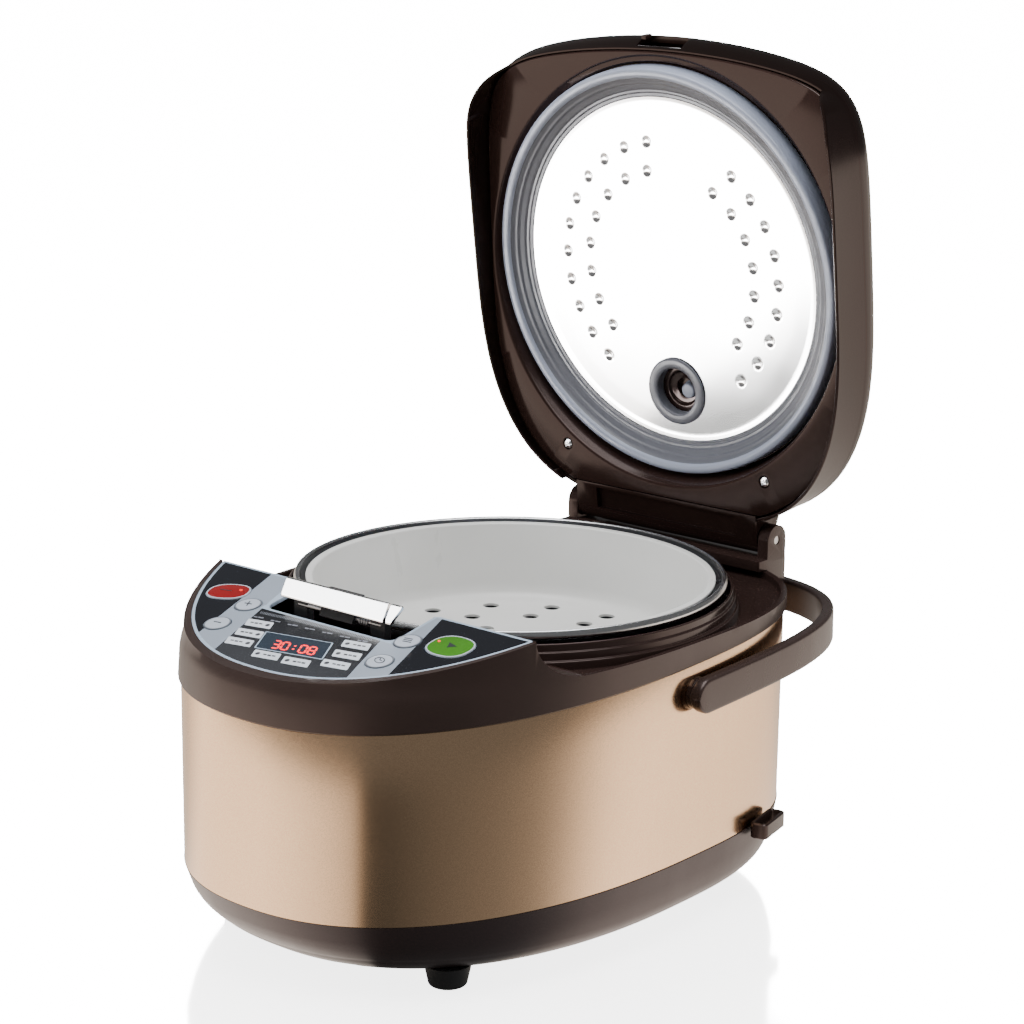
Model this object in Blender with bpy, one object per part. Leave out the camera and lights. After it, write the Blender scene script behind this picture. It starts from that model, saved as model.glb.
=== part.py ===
"""Multi-function rice cooker with its lid open.

Metres, +Z up, the front with the controls faces -Y, the feet stand on z = 0.
Heights inside the body are given from the pot's rim plane (RIM_Z) and depths from the pot's axis
(POT_Y). The lid is drawn closed and hung on an empty on the hinge axis, which turns it open.
"""
import math

import bmesh
import bpy
from mathutils import Matrix, Vector

# ---- driving dimensions -------------------------------------------------------------------------
RIM_Z = 0.183          # height of the pot's rim above the table
POT_Y = 0.015          # the pot's axis lies this far behind the origin
GAP = 0.0003           # clearance between pieces that touch
SEG = 56               # corners of the large rings

PLAN_Y = POT_Y - 0.005  # widest place of the body in plan
BODY_W = 0.1325        # half-width of the upper housing
BODY_F = 0.2070        # its depth forward of PLAN_Y
BODY_R = 0.1580        # its depth behind PLAN_Y
BODY_NF = 2.25         # squareness of the plan in front
BODY_NR = 3.0          # and behind

SKIRT_INSET = 0.0015
SKIRT_WALL = 0.0008
SKIRT_Z0 = 0.0453      # lower edge
SKIRT_Z1 = 0.1470      # upper edge at the front
SKIRT_SLOPE = 0.0387   # the upper edge rises to the rear
BASE_TOP = 0.0450
BASE_UNDER = 0.0125
BASE_WALL = 0.0025
BASE_FLOOR = 0.0155     # inner floor
FOOT_R = 0.0120
FOOT_X = 0.0760
FOOT_YS = (-0.1210, 0.1150)

DECK_Z = -0.0155       # top of the band beside the pot, from the rim plane
FLOOR_Z = -0.0195      # deck inside the band
DECK_WALL = 0.0025
THROAT_R = 0.1235
THROAT_WALL = 0.0027
THROAT_Z0 = -0.0340
COLLAR = ((0.1302, -0.0207), (0.1285, -0.0207), (0.1285, -0.0150), (0.1266, -0.0150),
          (0.1266, -0.0105), (0.1251, -0.0105), (0.1251, -0.0062), (THROAT_R - 0.0020, -0.0062))

PANEL_BACK_Y = -0.1135  # from the pot's axis
PANEL_Z = 0.0067       # height of the panel's back edge
PANEL_SLOPE = 0.20     # rise per depth
PANEL_W = 0.1295
PANEL_F = 0.1965
PANEL_N = 2.25
PANEL_T = 0.0022
NOTCH_W = 0.0465       # half-width of the release button's notch
NOTCH_Y = -0.1470

KEY_ROUND_R = 0.0074
KEY_STAND = 0.0006
KEY_TRAVEL = 0.0006
KEY_GAP = 0.0004

POT_H = 0.1350
SHELL_R = 0.1195
SHELL_Z0 = -0.1515
HEATER_R = 0.0860

HINGE_Y = 0.1521       # from the pot's axis
HINGE_Z = 0.0009       # from the rim plane
LID_OPEN = 82.14       # degrees
LID_W = 0.1340
LID_FRONT = 0.1375     # centre of the lid's front edge, from the pot's axis
LID_ARC = 0.4450       # radius of the front edge in plan
LID_R = 0.1520
LID_NR = 3.0
LID_CORNER = 9.0
LID_RIM_Z = -0.0120
LID_FRONT_Z = 0.0105
LID_TOP = 0.0430
LID_SKIN = 0.0018
LID_LEAN = 0.0050      # the front wall leans back this far at its foot
LID_FALL = 0.45        # how much of the dome's height is lost at the rear
FACE_Z = 0.0085        # liner's flat face at y = -0.12
FACE_SLOPE = -0.0654
MOUTH_R = 0.1280
SEAT_R = 0.1228
SEAT_Z = 0.0125
PLATE_R = 0.1037
PLATE_Z = 0.0108
VENT_Y = 0.0739
VENT_R = 0.0150
BARREL_R = 0.0092
BARREL_W = 0.0675      # half-width of the lid's hinge block
HINGE_W = 0.0755       # half-width over the ears of the body's
SHAFT_R = 0.0025

BAIL_X = 0.1415        # outer half-width of the handle
BAIL_REAR = 0.1810     # outer reach behind the pot's axis
BAIL_N = 3.8
BAIL_T = 0.0070
BAIL_H = 0.0196
BAIL_TILT = 2.0        # degrees above level when it rests
BAIL_Z = -0.0438       # pivot height from the rim plane, level with the pot's axis
BAIL_Y = 0.0
PIN_R = 0.0045


# ---- materials ----------------------------------------------------------------------------------
def material(name, colour, rough, metal=0.0, alpha=1.0):
    m = bpy.data.materials.new(name)
    m.use_nodes = True
    shader = m.node_tree.nodes["Principled BSDF"]
    shader.inputs["Base Color"].default_value = (*colour, 1.0)
    shader.inputs["Roughness"].default_value = rough
    shader.inputs["Metallic"].default_value = metal
    shader.inputs["Alpha"].default_value = alpha
    return m


# ---- building blocks ----------------------------------------------------------------------------
def add_object(name, bm, mat=None, angle=35.0):
    bmesh.ops.recalc_face_normals(bm, faces=bm.faces)
    mesh = bpy.data.meshes.new(name)
    bm.to_mesh(mesh)
    bm.free()
    mesh.shade_smooth()
    mesh.set_sharp_from_angle(angle=math.radians(angle))
    obj = bpy.data.objects.new(name, mesh)
    bpy.context.scene.collection.objects.link(obj)
    if mat:
        mesh.materials.append(mat)
    return obj


def loft(name, rings, mat=None, loop=False, angle=35.0):
    """Skin through rings of equal counts: capped at both ends, or joined end to end."""
    bm = bmesh.new()
    rows = [[bm.verts.new(p) for p in ring] for ring in rings]
    count = len(rows[0])
    pairs = list(zip(rows, rows[1:]))
    if loop:
        pairs.append((rows[-1], rows[0]))
    for low, high in pairs:
        for i in range(count):
            j = (i + 1) % count
            bm.faces.new((low[i], low[j], high[j], high[i]))
    if not loop:
        bm.faces.new(rows[0])
        bm.faces.new(rows[-1])
    return add_object(name, bm, mat, angle)


def circle(radius, z, centre=(0.0, POT_Y), count=SEG):
    return [(centre[0] + radius * math.cos(a), centre[1] + radius * math.sin(a), z)
            for a in (2 * math.pi * i / count for i in range(count))]


def lathe(name, profile, mat, centre=(0.0, POT_Y), base=RIM_Z, count=40, loop=False):
    """Turn (radius, height) pairs about a vertical axis; an end at radius 0 closes on the axis."""
    bm = bmesh.new()
    rows = []
    for r, z in profile:
        if r < 1e-6:
            rows.append([bm.verts.new((centre[0], centre[1], base + z))])
        else:
            rows.append([bm.verts.new(p) for p in circle(r, base + z, centre, count)])
    pairs = list(zip(rows, rows[1:]))
    if loop:
        pairs.append((rows[-1], rows[0]))
    for low, high in pairs:
        for i in range(count):
            j = (i + 1) % count
            if len(low) == 1:
                bm.faces.new((low[0], high[j], high[i]))
            elif len(high) == 1:
                bm.faces.new((low[i], low[j], high[0]))
            else:
                bm.faces.new((low[i], low[j], high[j], high[i]))
    return add_object(name, bm, mat)


def prism(name, outline, low, high, axis="Z", mat=None):
    """Extrude an outline of (u, v) pairs: (x, y) along Z, (y, z) along X or (x, z) along Y."""
    def place(u, v, w):
        return {"Z": (u, v, w), "X": (w, u, v), "Y": (u, w, v)}[axis]
    rings = [[place(u, v, w) for u, v in outline] for w in (low, high)]
    return loft(name, rings, mat)


def box(name, low, high, mat=None):
    outline = [(low[0], low[1]), (high[0], low[1]), (high[0], high[1]), (low[0], high[1])]
    return prism(name, outline, low[2], high[2], "Z", mat)


def rod(name, radius, start, end, mat=None, count=24):
    """Round bar between two points."""
    a, b = Vector(start), Vector(end)
    turn = (b - a).to_track_quat("Z", "Y").to_matrix().to_4x4()
    bm = bmesh.new()
    bmesh.ops.create_cone(bm, cap_ends=True, segments=count, radius1=radius, radius2=radius,
                          depth=(b - a).length,
                          matrix=Matrix.Translation((a + b) / 2) @ turn)
    return add_object(name, bm, mat)


def coil(name, radius, wire, turns, z0, z1, mat, steps=12, sides=6):
    """Helical spring about the Z axis, drawn at the origin."""
    bm = bmesh.new()
    count = int(turns * steps)
    rows = []
    for i in range(count + 1):
        a = 2 * math.pi * i / steps
        z = z0 + (z1 - z0) * i / count
        rows.append([bm.verts.new(((radius + wire * math.cos(b)) * math.cos(a),
                                   (radius + wire * math.cos(b)) * math.sin(a),
                                   z + wire * math.sin(b)))
                     for b in (2 * math.pi * k / sides for k in range(sides))])
    for low, high in zip(rows, rows[1:]):
        for k in range(sides):
            n = (k + 1) % sides
            bm.faces.new((low[k], low[n], high[n], high[k]))
    bm.faces.new(rows[0])
    bm.faces.new(rows[-1])
    return add_object(name, bm, mat, angle=60.0)


def boolean(obj, tool, operation="DIFFERENCE"):
    tool.hide_render = True
    tool.display_type = "WIRE"
    m = obj.modifiers.new(tool.name, "BOOLEAN")
    m.operation = operation
    m.solver = "EXACT"
    m.object = tool


def bevel(obj, width, segments=2, angle=40.0):
    m = obj.modifiers.new("edge_round", "BEVEL")
    m.width = width
    m.segments = segments
    m.limit_method = "ANGLE"
    m.angle_limit = math.radians(angle)


# ---- plan shapes --------------------------------------------------------------------------------
def plan_radius(a, width, front, rear, nf=BODY_NF, nr=BODY_NR):
    c, s = abs(math.cos(a)), abs(math.sin(a))
    depth, n = (front, nf) if math.sin(a) < 0 else (rear, nr)
    return ((c / width) ** n + (s / depth) ** n) ** (-1 / n)


def body_ring(width, front, rear, z, nf=BODY_NF):
    """Ring of the body's plan; z is a height or a function of y."""
    ring = []
    for i in range(SEG):
        a = 2 * math.pi * i / SEG
        r = plan_radius(a, width, front, rear, nf)
        x, y = r * math.cos(a), PLAN_Y + r * math.sin(a)
        ring.append((x, y, z(y) if callable(z) else z))
    return ring


def inset_ring(inset, z):
    return body_ring(BODY_W - inset, BODY_F - inset, BODY_R - inset, z)


def lid_radius(a, inset):
    """Distance from PLAN_Y to the lid's outline: straight sides, a shallow arc in front."""
    c, s = math.cos(a), math.sin(a)
    if s >= 0:
        n = LID_NR
        return ((abs(c) / (LID_W - inset)) ** n + (s / (LID_R - inset)) ** n) ** (-1 / n)
    arc = LID_ARC - inset
    rise = (POT_Y - LID_FRONT + LID_ARC) - PLAN_Y
    reach = rise * s + math.sqrt(max(arc * arc - rise * rise * c * c, 0.0))
    side = abs(c) / (LID_W - inset)
    return (side ** LID_CORNER + (1 / reach) ** LID_CORNER) ** (-1 / LID_CORNER)


def lid_ring(inset, z, lean=0.0):
    """Ring of the lid's plan; lean draws its front edge rearwards."""
    ring = []
    for i in range(SEG):
        a = 2 * math.pi * i / SEG
        r = lid_radius(a, inset)
        x, y = r * math.cos(a), PLAN_Y + r * math.sin(a)
        y += lean * max(0.0, (POT_Y - 0.1000 - y) / (LID_FRONT - 0.1000))
        ring.append((x, y, RIM_Z + (z(y - POT_Y) if callable(z) else z)))
    return ring


def panel_z(y):
    """Height of the sloping control panel at depth y (world)."""
    return RIM_Z + PANEL_Z + PANEL_SLOPE * (y - POT_Y + 0.112)


def skirt_top(y):
    return SKIRT_Z1 + SKIRT_SLOPE * (y + 0.195)


def step_profile(y0, y1, z0, z1, steps=8):
    """Quarter ellipse from (y0, z0), level there, up to (y1, z1), upright there."""
    return [(y0 + (y1 - y0) * math.sin(t), z0 + (z1 - z0) * (1 - math.cos(t)))
            for t in (math.pi / 2 * i / steps for i in range(steps + 1))]


def lid_edge(y):
    """Lower edge of the lid: low beside the pot, raised over the control panel."""
    t = min(max((-0.0815 - y) / 0.032, 0.0), 1.0)
    return LID_RIM_Z + (LID_FRONT_Z - LID_RIM_Z) * (1 - math.sqrt(1 - t * t))


def dome(z):
    """Height of the lid's outside, which falls away towards the hinge."""
    def height(y):
        t = min(max((y + 0.06) / 0.207, 0.0), 1.0)
        return 0.0160 + (z - 0.0160) * (1 - LID_FALL * t * t)
    return height


def face_z(y):
    return FACE_Z + FACE_SLOPE * (y + 0.12)


# ---- base ---------------------------------------------------------------------------------------
def make_base(mat):
    outer = ((0.1190, 0.1760, 0.1370, BASE_UNDER), (0.1240, 0.1820, 0.1420, BASE_FLOOR),
             (0.1280, 0.1890, 0.1470, 0.0205), (0.1303, 0.1990, 0.1520, 0.0300),
             (0.1315, 0.2055, 0.1565, BASE_TOP))
    rings = [body_ring(w, f, r, z) for w, f, r, z in outer]
    rings += [body_ring(w - BASE_WALL, f - BASE_WALL, r - BASE_WALL, z)
              for w, f, r, z in reversed(outer[1:])]
    base = loft("base_housing", rings, mat)
    window = box("inlet_window", (-0.0740, 0.1300, 0.0195), (-0.0460, 0.1800, 0.0405))
    boolean(base, window)
    for i in range(5):
        x = -0.040 + 0.020 * i
        boolean(base, box(f"vent_slot_{i}", (x - 0.0025, -0.060, 0.005),
                          (x + 0.0025, 0.020, 0.020)))
    return base


def make_feet(mat):
    for side, x in (("left", -FOOT_X), ("right", FOOT_X)):
        for end, y in zip(("front", "rear"), FOOT_YS):
            top = BASE_UNDER - GAP
            lathe(f"foot_{end}_{side}", ((0, 0), (FOOT_R - 0.0015, 0), (FOOT_R, 0.0015),
                                         (FOOT_R + 0.0008, top), (0, top)),
                  mat, (x, y), 0.0, 24)


def make_inlet(mat):
    """Appliance inlet in the rear of the base: a shroud with three blades."""
    x, z = -0.0600, 0.0300
    w, h = 0.0136, 0.0102
    body = box("power_inlet", (x - w, 0.1350, z - h), (x + w, 0.1580, z + h), mat)
    boolean(body, box("inlet_cavity", (x - w + 0.0018, 0.1420, z - h + 0.0018),
                      (x + w - 0.0018, 0.1700, z + h - 0.0018)))
    for i, (dx, dz) in enumerate(((-0.007, -0.0015), (0.0, 0.0015), (0.007, -0.0015))):
        blade = box(f"inlet_blade_{i}", (x + dx - 0.0010, 0.1400, z + dz - 0.0030),
                    (x + dx + 0.0010, 0.1560, z + dz + 0.0030))
        boolean(body, blade, "UNION")
    return body


def make_spoon_holder(mat):
    """Upright loop on the right rear corner for the rice paddle."""
    holder = box("spoon_holder", (-0.0052, -0.0140, 0.0400), (0.0052, 0.0140, 0.0490), mat)
    boolean(holder, box("spoon_slot", (-0.0031, -0.0117, 0.0300), (0.0031, 0.0117, 0.0500)))
    bevel(holder, 0.0008, 1)
    for obj in (holder, bpy.data.objects["spoon_slot"]):
        obj.location = (0.1324, POT_Y + 0.0705, 0.0)
        obj.rotation_euler.z = math.radians(12.0)
    return holder


# ---- skirt and upper housing --------------------------------------------------------------------
def make_skirt(mat):
    outer, inner = SKIRT_INSET, SKIRT_INSET + SKIRT_WALL
    skirt = loft("body_skirt", [inset_ring(outer, SKIRT_Z0), inset_ring(outer, skirt_top),
                                inset_ring(inner, skirt_top), inset_ring(inner, SKIRT_Z0)],
                 mat, loop=True)
    z = RIM_Z + BAIL_Z
    boolean(skirt, rod("pivot_holes", 0.0065, (-0.15, POT_Y + BAIL_Y, z), (0.15, POT_Y + BAIL_Y, z)))
    return skirt


def make_upper_housing(mat):
    def low(y):
        return skirt_top(y) + GAP
    wall = 0.0028
    sections = ((BODY_W, BODY_F, BODY_R, low), (BODY_W - 0.0001, BODY_F - 0.0015, BODY_R, 0.1635),
                (BODY_W - 0.0003, BODY_F - 0.0050, BODY_R, 0.1720),
                (BODY_W - 0.0005, BODY_F - 0.0075, BODY_R, 0.2000))
    housing = loft("upper_housing", [body_ring(w, f, r, z) for w, f, r, z in sections], mat)

    # everything above the panel, the step and the deck
    cut = [(-0.30, panel_z(-0.30)), (PANEL_BACK_Y - 0.0015 + POT_Y, panel_z(PANEL_BACK_Y + POT_Y))]
    step = step_profile(-0.085, -0.115, DECK_Z, PANEL_Z + 0.0005)
    cut += [(y + POT_Y, z + RIM_Z) for y, z in reversed(step)]
    cut += [(0.30, RIM_Z + DECK_Z), (0.30, 0.30), (-0.30, 0.30)]
    boolean(housing, prism("deck_cut", cut, -0.2, 0.2, "X"))

    # the sunken deck inside the band
    def floor_low(y):
        return RIM_Z + FLOOR_Z
    tray = [(x, max(y, POT_Y - 0.0850), z) for x, y, z in body_ring(
        BODY_W - 0.0032, BODY_F, BODY_R - 0.0032, floor_low)]
    boolean(housing, loft("floor_cut", [tray, [(x, y, 0.21) for x, y, z in tray]]))

    # hollow inside, under the panel and under the deck
    def ceiling(y):
        front = panel_z(y) - 0.0050
        return front if y < POT_Y - 0.121 else RIM_Z + FLOOR_Z - DECK_WALL
    front_cut = [(-0.25, 0.10), (-0.25, ceiling(-0.25)), (POT_Y - 0.1211, ceiling(POT_Y - 0.1211)),
                 (POT_Y - 0.1209, ceiling(POT_Y)), (0.25, ceiling(POT_Y)), (0.25, 0.10)]
    hollow = loft("housing_hollow", [inset_ring(wall, 0.120), inset_ring(wall + 0.0002, 0.1635),
                                     body_ring(BODY_W - wall - 0.0005, BODY_F - wall - 0.0055,
                                               BODY_R - wall, 0.1720),
                                     body_ring(BODY_W - wall - 0.0007, BODY_F - wall - 0.0080,
                                               BODY_R - wall, 0.2100)])
    boolean(hollow, prism("ceiling_shape", front_cut, -0.2, 0.2, "X"), "INTERSECT")
    boolean(housing, hollow)

    # throat around the pot, with a stepped collar under the pot's flange
    outside = THROAT_R + THROAT_WALL
    throat = lathe("throat_ring", ((THROAT_R - 0.0020, THROAT_Z0), (outside, THROAT_Z0),
                                   (outside, -0.0300), (0.1302, -0.0265), *COLLAR),
                   None, count=SEG, loop=True)
    boolean(housing, throat, "UNION")
    boolean(housing, lathe("well_cut", ((0, -0.08), (THROAT_R, -0.08), (THROAT_R, 0.03), (0, 0.03)),
                           None, count=57))

    # seat and opening for the panel, notch for the release button
    boolean(housing, panel_solid("panel_seat", GAP, -PANEL_T - GAP, 0.03, PANEL_BACK_Y + GAP))
    boolean(housing, panel_solid("panel_opening", -0.0028, -0.02, 0.005, -0.1240))
    boolean(housing, prism("button_notch", notch_outline(0.0), RIM_Z - 0.012, 0.22, "Z"))
    return housing


def notch_outline(grow):
    w, y0, y1, r = NOTCH_W + grow, NOTCH_Y - grow + POT_Y, POT_Y - 0.1050, 0.006
    points = [(w, y1)]
    for cx, start in ((w - r, 0.0), (-w + r, -90.0)):
        for k in range(5):
            a = math.radians(start - 22.5 * k)
            points.append((cx + r * math.cos(a), y0 + r + r * math.sin(a)))
    points.append((-w, y1))
    return points


def panel_solid(name, grow, low, high, back, mat=None, count=40):
    """D-shaped slab parallel to the sloping panel; low and high are heights above it."""
    outline = []
    limit = POT_Y + back
    for i in range(count + 1):
        a = -math.pi * i / count
        r = plan_radius(a, PANEL_W + grow, PANEL_F + grow, 1.0, PANEL_N)
        x, y = r * math.cos(a), PLAN_Y + r * math.sin(a)
        outline.append((x, y))
    kept = [p for p in outline if p[1] < limit]
    s = (1 - ((PLAN_Y - limit) / (PANEL_F + grow)) ** PANEL_N) ** (1 / PANEL_N) * (PANEL_W + grow)
    kept = [(s, limit)] + kept + [(-s, limit)]
    return loft(name, [[(x, y, panel_z(y) + h) for x, y in kept] for h in (low, high)], mat)


# ---- control panel ------------------------------------------------------------------------------
def tilt_matrix(x, y):
    """Frame on the panel's surface at (x, y from the pot's axis), its Z along the panel's normal."""
    wy = y + POT_Y
    turn = Matrix.Rotation(math.atan(PANEL_SLOPE), 4, "X")
    return Matrix.Translation((x, wy, panel_z(wy))) @ turn


KEYS = {
    "key_cancel": (-0.0795, -0.1420, 0.0126, 0.0090, 18.0),
    "key_plus": (-0.0570, -0.1490, KEY_ROUND_R, KEY_ROUND_R, 0.0),
    "key_minus": (-0.0555, -0.1730, KEY_ROUND_R, KEY_ROUND_R, 0.0),
    "key_menu": (0.0535, -0.1430, KEY_ROUND_R, KEY_ROUND_R, 0.0),
    "key_preset": (0.0560, -0.1665, KEY_ROUND_R, KEY_ROUND_R, 0.0),
    "key_start": (0.0780, -0.1376, 0.0130, 0.0110, 0.0),
}


def key_ring(rx, ry, z, turn, count=24):
    ring = []
    for i in range(count):
        a = 2 * math.pi * i / count
        n = 2.0 if rx == ry else 2.4
        r = ((abs(math.cos(a)) / rx) ** n + (abs(math.sin(a)) / ry) ** n) ** (-1 / n)
        b = a + math.radians(turn)
        ring.append((r * math.cos(b), r * math.sin(b), z))
    return ring


def make_panel(mat):
    panel = panel_solid("control_panel", 0.0, -PANEL_T, 0.0, PANEL_BACK_Y, mat)
    boolean(panel, prism("panel_notch", notch_outline(0.0), RIM_Z - 0.02, 0.22, "Z"))
    boolean(panel, lathe("panel_well", ((0, -0.03), (THROAT_R + 0.0004, -0.03),
                                        (THROAT_R + 0.0004, 0.03), (0, 0.03)), None, count=SEG))
    for name, (x, y, rx, ry, turn) in KEYS.items():
        hole = loft(f"{name}_hole", [key_ring(rx + KEY_GAP, ry + KEY_GAP, z, turn)
                                     for z in (-0.01, 0.01)])
        hole.matrix_world = tilt_matrix(x, y)
        boolean(panel, hole)
    window = box("window_hole", (-0.0203, -0.0098, -0.01), (0.0203, 0.0098, 0.01))
    window.matrix_world = tilt_matrix(0.0015, -0.1730)
    boolean(panel, window)
    return panel


def make_keys(mats):
    """Each key is a cap through the panel with a flange that holds it in."""
    for name, (x, y, rx, ry, turn) in KEYS.items():
        under = -PANEL_T - KEY_TRAVEL
        rows = ((-0.0013, KEY_STAND), (0.0, KEY_STAND - 0.0004), (0.0, under + 0.0004),
                (0.0012, under + 0.0004), (0.0012, under - 0.0008))
        rings = [key_ring(rx + d, ry + d, z, turn) for d, z in rows]
        key = loft(name, list(reversed(rings)), mats.get(name, mats["round"]))
        key.matrix_world = tilt_matrix(x, y)


def make_display(window_mat, led_mat, board_mat):
    glass = box("display_window", (-0.0200, -0.0095, -0.0016), (0.0200, 0.0095, 0.0), window_mat)
    glass.matrix_world = tilt_matrix(0.0015, -0.1730)
    module = box("led_display", (-0.0225, -0.0110, -0.0090), (0.0225, 0.0110, -0.0030), led_mat)
    module.matrix_world = tilt_matrix(0.0015, -0.1730)
    outline = [(-0.094, -0.131), (-0.050, -0.131), (-0.050, -0.1520), (0.050, -0.1520),
               (0.050, -0.131), (0.094, -0.131), (0.090, -0.150), (0.060, -0.182), (-0.060, -0.182),
               (-0.090, -0.150)]
    rings = [[(x, y + POT_Y, panel_z(y + POT_Y) + h) for x, y in outline] for h in (-0.0112, -0.0096)]
    loft("control_board", rings, board_mat)


# ---- lid latch ----------------------------------------------------------------------------------
LATCH_Y = -0.1370
LATCH_Z = 0.0030


def make_release_button(chrome, dark, steel):
    """Chrome rocker: pressing its lower edge tips its top, and the hook behind it, off the lid."""
    bar = [(-0.1360, 0.0160), (-0.1374, 0.0158), (-0.1432, 0.0052), (-0.1436, 0.0008),
           (-0.1416, 0.0008), (-0.1350, 0.0146)]
    button = prism("lid_release_button", [(y + POT_Y, z + RIM_Z) for y, z in bar],
                   -0.0405, 0.0405, "X", chrome)
    bevel(button, 0.0004, 2, 30.0)
    hook = [(-0.1349, 0.0138), (-0.1410, 0.0010), (-0.1390, -0.0004), (-0.1350, 0.0002),
            (-0.1345, 0.0040), (-0.1338, 0.0100), (-0.1334, 0.0135), (-0.1313, 0.0138),
            (-0.1313, 0.0147), (-0.1342, 0.0150)]
    latch = prism("latch_hook", [(y + POT_Y, z + RIM_Z) for y, z in hook], -0.0120, 0.0120, "X", dark)
    y, z = LATCH_Y + POT_Y, LATCH_Z + RIM_Z
    boolean(latch, rod("latch_bore", 0.0016, (-0.02, y, z), (0.02, y, z), None, 16))
    rod("latch_pin", 0.0015, (-0.0300, y, z), (0.0300, y, z), steel, 16)
    bracket = box("latch_bracket", (-0.0330, POT_Y - 0.1385, RIM_Z - 0.0170),
                  (0.0330, POT_Y - 0.1335, RIM_Z + 0.0054), dark)
    boolean(bracket, box("bracket_gap", (-0.0230, POT_Y - 0.16, RIM_Z - 0.0145),
                         (0.0230, POT_Y - 0.11, RIM_Z + 0.01)))
    boolean(bracket, rod("bracket_bore", 0.0016, (-0.0303, y, z), (0.0303, y, z), None, 16))
    spring = coil("latch_spring", 0.0022, 0.0004, 4.0, -0.0035, 0.0035, steel, 10, 5)
    spring.location = (0.0176, y, z)
    spring.rotation_euler.y = math.pi / 2


# ---- pot, tray and heating ----------------------------------------------------------------------
def make_pot(mat):
    profile = ((0, -POT_H), (0.0870, -POT_H), (0.1020, -0.1305), (0.1115, -0.1180),
               (0.1168, -0.0058), (0.1214, -0.0052), (0.1221, -0.0028), (0.1206, 0.0),
               (0.1188, -0.0008), (0.1176, -0.0040), (0.1138, -0.0040), (0.1130, -0.0070),
               (0.1098, -0.1172), (0.1008, -0.1290), (0.0868, -0.1334), (0, -0.1334))
    return lathe("inner_pot", profile, mat)


def make_tray(mat):
    """Perforated steaming tray that hangs by its flange in the pot."""
    profile = ((0, -0.0485), (0.0975, -0.0485), (0.1035, -0.0460), (0.1062, -0.0400),
               (0.1118, -0.0036), (0.1152, -0.0036), (0.1152, -0.0020), (0.1108, -0.0020),
               (0.1048, -0.0400), (0.1024, -0.0448), (0.0972, -0.0470), (0, -0.0470))
    tray = lathe("steam_tray", profile, mat)
    bm = bmesh.new()
    for radius, count in ((0.0880, 15), (0.0670, 12), (0.0420, 6)):
        for i in range(count):
            a = 2 * math.pi * i / count + math.pi / 2
            spot = Matrix.Translation((radius * math.cos(a), POT_Y + radius * math.sin(a),
                                       RIM_Z - 0.0478))
            bmesh.ops.create_cone(bm, cap_ends=True, segments=8, radius1=0.0048, radius2=0.0048,
                                  depth=0.006, matrix=spot)
    boolean(tray, add_object("tray_holes", bm))
    return tray


def make_heating(shell_mat, heater_mat, cap_mat, steel):
    z0, z1 = SHELL_Z0, THROAT_Z0 - GAP
    lathe("inner_shell", ((0.0075, z0), (SHELL_R, z0), (SHELL_R, z1 - 0.0008), (0.1258, z1 - 0.0008),
                          (0.1258, z1), (SHELL_R - 0.0008, z1), (SHELL_R - 0.0008, z0 + 0.0008),
                          (0.0075, z0 + 0.0008)), shell_mat, loop=True)
    top = -POT_H - GAP
    lathe("heating_plate", ((0.0180, z0 + 0.0011), (HEATER_R, z0 + 0.0011), (HEATER_R, top - 0.0010),
                            (HEATER_R - 0.0010, top), (0.0180, top)), heater_mat, loop=True)
    lathe("temperature_sensor", ((0, -0.1580), (0.0060, -0.1580), (0.0060, -0.1385),
                                 (0.0165, -0.1385), (0.0165, top - 0.0008), (0.0155, top),
                                 (0, top)), cap_mat, count=32)
    spring = coil("sensor_spring", 0.0085, 0.0006, 4.0, z0 + 0.0008 + 0.0011, -0.1385 - 0.0011, steel)
    spring.location = (0, POT_Y, RIM_Z)


def make_power_board(board_mat, relay_mat):
    z = BASE_FLOOR + GAP
    box("power_board", (-0.050, POT_Y - 0.173, z), (0.050, POT_Y - 0.132, z + 0.0016), board_mat)
    top = z + 0.0016 + GAP
    box("power_relay", (0.010, POT_Y - 0.165, top), (0.038, POT_Y - 0.145, top + 0.0180), relay_mat)
    lathe("board_capacitor", ((0, top), (0.0070, top), (0.0070, top + 0.0240), (0, top + 0.0240)),
          relay_mat, (-0.0250, POT_Y - 0.155), 0.0, 20)


# ---- rear hinge ---------------------------------------------------------------------------------
def make_hinge_bracket(mat, steel):
    """Block on the rear of the housing, with two ears for the hinge shaft."""
    y, z = POT_Y + HINGE_Y, RIM_Z + HINGE_Z
    low, deck, rear = RIM_Z - 0.0345, RIM_Z + DECK_Z + GAP, y + 0.0092
    outline = [(y - 0.0170, z - 0.0101), (y + 0.0070, z - 0.0101), (rear, z - 0.0120),
               (rear, low + 0.0020), (rear - 0.0020, low), (y - 0.0170, low)]
    bracket = prism("hinge_bracket", outline, -HINGE_W, HINGE_W, "X", mat)
    rings = [body_ring(BODY_W + GAP, BODY_F, BODY_R + GAP, h) for h in (0.10, deck)]
    boolean(bracket, loft("body_shape", rings))
    for side in (-1, 1):
        a, b = side * (BARREL_W + 0.0008), side * HINGE_W
        ear = prism(f"ear_{side}", [(y - 0.0090, z - 0.0120), (y + 0.0090, z - 0.0120),
                                    (y + 0.0090, z), (y + 0.0064, z + 0.0064), (y, z + 0.0090),
                                    (y - 0.0064, z + 0.0064), (y - 0.0090, z)],
                    min(a, b), max(a, b), "X")
        boolean(bracket, ear, "UNION")
    boolean(bracket, rod("ear_bore", SHAFT_R + 0.0001, (-0.09, y, z), (0.09, y, z), None, 20))
    rod("hinge_shaft", SHAFT_R, (0.0005 - HINGE_W, y, z), (HINGE_W - 0.0005, y, z), steel, 20)


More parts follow.
